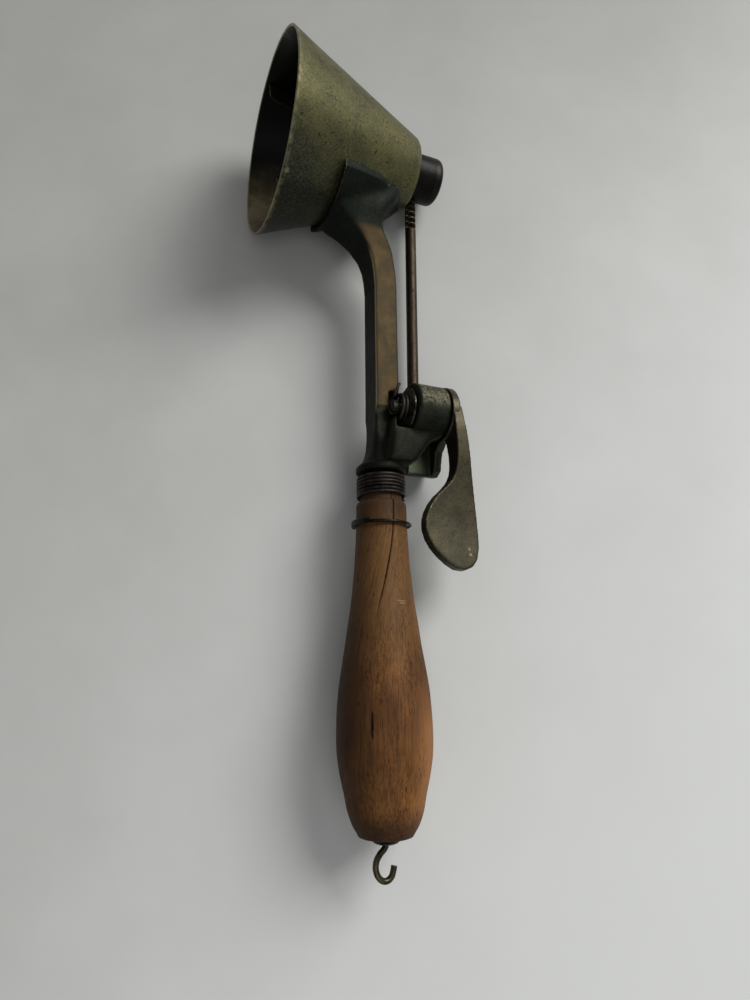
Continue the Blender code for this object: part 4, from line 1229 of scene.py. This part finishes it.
@dataclass
class HandleAssembly(Assembly):
    """The cracked wooden handle, its wire binding, loose ring, end plate and hook."""

    outline: tuple[tuple[float, float], ...] = (
        (-23.5, 6.6), (-23.2, 7.4), (-22.4, 7.9), (-20.0, 9.3), (-16.7, 10.5), (-12.9, 11.3),
        (-9.1, 12.2), (-5.2, 12.95), (-1.0, 13.45), (3.5, 13.55), (9.0, 13.4), (14.8, 12.95),
        (21.0, 12.05), (27.3, 11.05), (33.0, 10.3), (39.0, 9.4), (45.5, 8.7), (52.0, 8.15),
        (60.0, 7.8), (68.6, 7.6), (69.3, 7.3), (69.6, 6.3), (77.9, 6.1), (78.3, 5.7))
    bore: float = 2.9
    columns: int = 180
    crack_top: float = 69.6
    crack_end: float = 33.0
    crack_depth: float = 0.9
    slit: tuple[float, float] = (2.0, 9.2)
    coil_r: float = 7.1
    coil_wire: float = 0.95
    coil_turns: float = 6.25
    coil_z: float = 71.1
    ring_r: float = 8.6
    ring_wire: float = 1.0
    ring_z: float = 62.9
    ring_tilt: float = math.radians(4.0)
    hook_wire: float = 1.7
    hook_path: tuple[tuple[float, float], ...] = (
        (0.0, -25.4), (-0.6, -26.4), (-1.9, -27.6), (-2.9, -29.2), (-3.1, -31.0),
        (-2.5, -32.8), (-1.2, -34.0), (0.3, -34.1), (1.5, -33.2), (2.0, -31.9), (2.3, -30.6))

    def crack_angle(self, height: float) -> float:
        """Where the grain column of the crack lies round the handle, in degrees from its front."""
        return between(height, ((10.0, -38.5), (25.0, -37.0), (35.7, -33.5), (42.5, -23.0),
                                (50.7, -10.0), (55.2, -3.4), (59.7, 1.2), (64.3, 3.7),
                                (68.3, 4.7)))

    def split_depth(self, height: float) -> float:
        """Depth of the crack or of the slit at a height, in mm."""
        rag = 0.75 + 0.5 * noise.noise(Vector((0.0, 3.0, height * 0.9)))
        if self.crack_end < height < self.crack_top:
            return self.crack_depth * rag * min(1.0, (height - self.crack_end) / 14.0)
        low, high = self.slit
        if low < height < high:
            share = (height - low) / (high - low)
            return 0.9 * math.sin(math.pi * share) ** 0.6
        return 0.0

    def handle(self) -> None:
        """Turn the handle, twist its columns along the crack, and open the crack."""
        side = flowing([(radius, 0.0, height) for height, radius in self.outline[2:20]], 12)
        top = [(radius, height) for height, radius in reversed(self.outline[20:])]
        foot = [(radius, height) for height, radius in reversed(self.outline[:2])]
        section = [(self.bore, self.outline[-1][0]), *top,
                   *[(point.x, point.z) for point in reversed(side)], *foot,
                   (self.hook_wire / 2 + 0.3, self.outline[0][0]), (self.bore, 0.0),
                   (self.bore, self.outline[-1][0])]
        ob = turn_on_lathe("handle_wood", section, self.columns)
        ob.data.attributes.new("grain", "FLOAT_VECTOR", "POINT")
        ob.data.attributes.new("split", "FLOAT", "POINT")
        grain, split = ob.data.attributes["grain"], ob.data.attributes["split"]
        step = 360.0 / self.columns
        near = {0: 0.0, 1: 0.44, 2: 0.73, 3: 0.9}
        for index, vert in enumerate(ob.data.vertices):
            grain.data[index].vector = vert.co
            radius, height = math.hypot(vert.co.x, vert.co.y), vert.co.z
            if radius < 5.0:
                continue
            angle = math.degrees(math.atan2(vert.co.y, vert.co.x))
            column = round(angle / step)
            angle *= near.get(abs(column), 1.0)
            depth = self.split_depth(height)
            if abs(column) < 2 and depth > 0.0:
                radius -= depth * (1.0, 0.25)[abs(column)]
                split.data[index].value = min(1.0, depth * (2.5, 0.6)[abs(column)])
            worn = 0.06 * noise.noise(Vector((vert.co.x, vert.co.y, height)) * 0.12)
            turn = math.radians(angle + self.crack_angle(height) - 90.0)
            vert.co.x = (radius + worn) * math.cos(turn)
            vert.co.y = (radius + worn) * math.sin(turn)
        lay_down(ob, self.tool.matrix)
        smooth(ob, 50.0)
        self.install(ob, Body.FRAME, Slot.WOOD, "wood_handle", self.finishes["wood"])

    def binding(self) -> None:
        """Wind the binding wire, each turn a little off the last."""
        around = 48
        path = []
        for step in range(int(self.coil_turns * around) + 1):
            turn = step / around
            angle = 2 * math.pi * turn
            stray = noise.noise(Vector((turn * 1.7, 0.0, 5.0)))
            radius = self.coil_r + 0.08 * stray
            height = self.coil_z + (self.coil_wire + 0.12) * turn + 0.07 * stray
            path.append(Vector((radius * math.cos(angle), radius * math.sin(angle), height)))
        path.insert(0, path[0] + Vector((0.0, -0.9, 0.0)))
        ob = bend_wire("binding_wire_wound", path, self.coil_wire)
        lay_down(ob, self.tool.matrix)
        smooth(ob, SOFT_ANGLE)
        self.install(ob, Body.FRAME, Slot.IRON_WIRE, "binding_wire", self.finishes["iron"])

    def ring(self) -> None:
        """Bend the loose ring with its ends lapped at the left."""
        path = []
        lap = 22
        for step in range(-lap // 2, 96 + lap // 2 + 1):
            angle = math.pi + 2 * math.pi * step / 96
            share = (step - 48) / 48
            rise = 0.55 * math.copysign(max(0.0, abs(share) - 0.55) / 0.65, share)
            radius = self.ring_r + 0.12 * abs(share)
            path.append(Vector((radius * math.cos(angle), radius * math.sin(angle), rise)))
        ob = bend_wire("wire_ring_bent", path, self.ring_wire)
        lay_down(ob, self.tool.matrix @ Matrix.Translation((0.0, 0.0, self.ring_z))
                 @ Matrix.Rotation(self.ring_tilt, 4, "X"))
        smooth(ob, SOFT_ANGLE)
        self.install(ob, Body.FRAME, Slot.BRASS_WIRE, "wire_ring", self.finishes["ring"])

    def hook(self) -> None:
        """Turn the end plate and bend the hook."""
        hole = self.hook_wire / 2 + 0.3
        section = [(hole, -23.8), (3.8, -23.8), (3.9, -23.95), (3.75, -24.4), (3.3, -24.8),
                   (2.6, -25.1), (1.8, -25.28), (hole, -25.3), (hole, -23.8)]
        plate = turn_on_lathe("hook_plate_turned", section, 72)
        lay_down(plate, self.tool.matrix)
        smooth(plate)
        self.install(plate, Body.FRAME, Slot.BRASS_WIRE, "hook_plate", self.finishes["ring"])
        bend = flowing([(x, 0.0, z) for x, z in self.hook_path], 8)
        wire = bend_wire("hanging_hook_bent", [Vector((0.0, 0.0, -16.0)), *bend],
                         self.hook_wire, 6)
        lay_down(wire, self.tool.matrix)
        smooth(wire, SOFT_ANGLE)
        self.install(wire, Body.FRAME, Slot.BRASS_WIRE, "hanging_hook", self.finishes["hook"])

    def build(self) -> None:
        """Make the handle and all that is on it."""
        self.handle()
        self.binding()
        self.ring()
        self.hook()
        self.dress(self.finishes["tang"], "handle_tang")


# --------------------------------------------------------------------------- studio


@dataclass(frozen=True)
class Lamp:
    """A square soft light that aims at the tool."""

    name: str
    place: tuple[float, float, float]
    size: float
    power: float

    def hang(self) -> None:
        """Add the lamp."""
        deselect()
        bpy.ops.object.light_add(type="AREA", location=self.place)
        lamp = bpy.context.object
        lamp.name = lamp.data.name = self.name
        lamp.data.size = self.size
        lamp.data.energy = self.power
        lamp.rotation_euler = (-Vector(self.place)).to_track_quat("-Z", "Y").to_euler()


@dataclass
class Studio:
    """Counter, soft light and camera."""

    tool: ToolFrame
    eye: tuple[float, float, float] = (-83.81, -188.18, 13.65)
    eye_up: tuple[float, float, float] = (-0.09567, -0.24991, 0.96353)
    eye_back: tuple[float, float, float] = (-0.38394, -0.88380, -0.26735)
    lens: float = 25.2
    # dim and lit are the floor's painted light falloff, from its far left to its right.
    dim: Colour = tint(147, 146, 141)
    lit: Colour = tint(206, 207, 203)
    lamps: tuple[Lamp, ...] = (
        Lamp("window_light", (1.25, 1.05, 1.35), 1.1, 46.0),
        Lamp("room_fill", (0.3, -1.0, 1.5), 1.2, 7.0),
    )

    def camera(self) -> None:
        """Stand the camera over the handle, looking up the tool."""
        back = self.tool.along(self.eye_back)
        up = self.tool.along(self.eye_up)
        right = up.cross(back).normalized()
        up = back.cross(right)
        turn = Matrix((right, up, back)).transposed().to_4x4()
        deselect()
        bpy.ops.object.camera_add()
        camera = bpy.context.object
        camera.matrix_world = Matrix.Translation(self.tool.at(self.eye)) @ turn
        camera.data.lens = self.lens
        camera.data.sensor_width = 36.0
        camera.data.clip_start = 0.01
        bpy.context.scene.camera = camera

    def counter(self) -> None:
        """Lay the pale counter, with painted light falloff: darker toward its far left."""
        deselect()
        bpy.ops.mesh.primitive_plane_add(size=6.0, location=(0.0, 0.0, -0.0001))
        floor = bpy.context.object
        floor.name = floor.data.name = "counter"
        bpy.ops.object.transform_apply(location=True, rotation=True, scale=True)
        recipe = Recipe("pale_counter", None)
        across, along = recipe.axis(0), recipe.axis(1)
        # Painted light falloff: the floor darkens toward the far left and lightens toward the
        # right.
        slope = recipe.less(recipe.times(across, 1.7), recipe.times(along, 2.1))
        level = recipe.plus(recipe.less(slope, recipe.times(across, along, 8.0)),
                            recipe.times(recipe.blotches(0.05), 0.3))
        colour = recipe.blend(recipe.spread(level, -0.56, 0.80), self.dim, self.lit)
        floor.data.materials.append(recipe.finish(colour, 0.55, 0.0, 0.3))

    def light(self) -> None:
        """Hang the lamps in a softly lit room."""
        world = bpy.data.worlds.new("soft_room")
        world.use_nodes = True
        sky = world.node_tree.nodes["Background"]
        sky.inputs["Color"].default_value = (0.93, 0.95, 1.0, 1.0)
        sky.inputs["Strength"].default_value = 0.24
        bpy.context.scene.world = world
        for lamp in self.lamps:
            lamp.hang()

    def build(self) -> None:
        """Set up the whole studio."""
        self.camera()
        self.counter()
        self.light()
        bpy.context.scene.view_settings.view_transform = "Standard"


def main() -> None:
    """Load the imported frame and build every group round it."""
    logging.basicConfig(level=logging.INFO, format="%(name)s: %(message)s")
    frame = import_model()
    tool = ToolFrame.from_joints(frame["joints"])
    Studio(tool).build()
    finishes = Finishes(tool)
    for group in (BowlAssembly, FrameAssembly, RackAssembly, LeverAssembly, HandleAssembly):
        group(tool, frame["nodes"], finishes).build()
        LOG.info("%s is built", group.__name__)
    deselect()


if __name__ == "__main__":
    main()
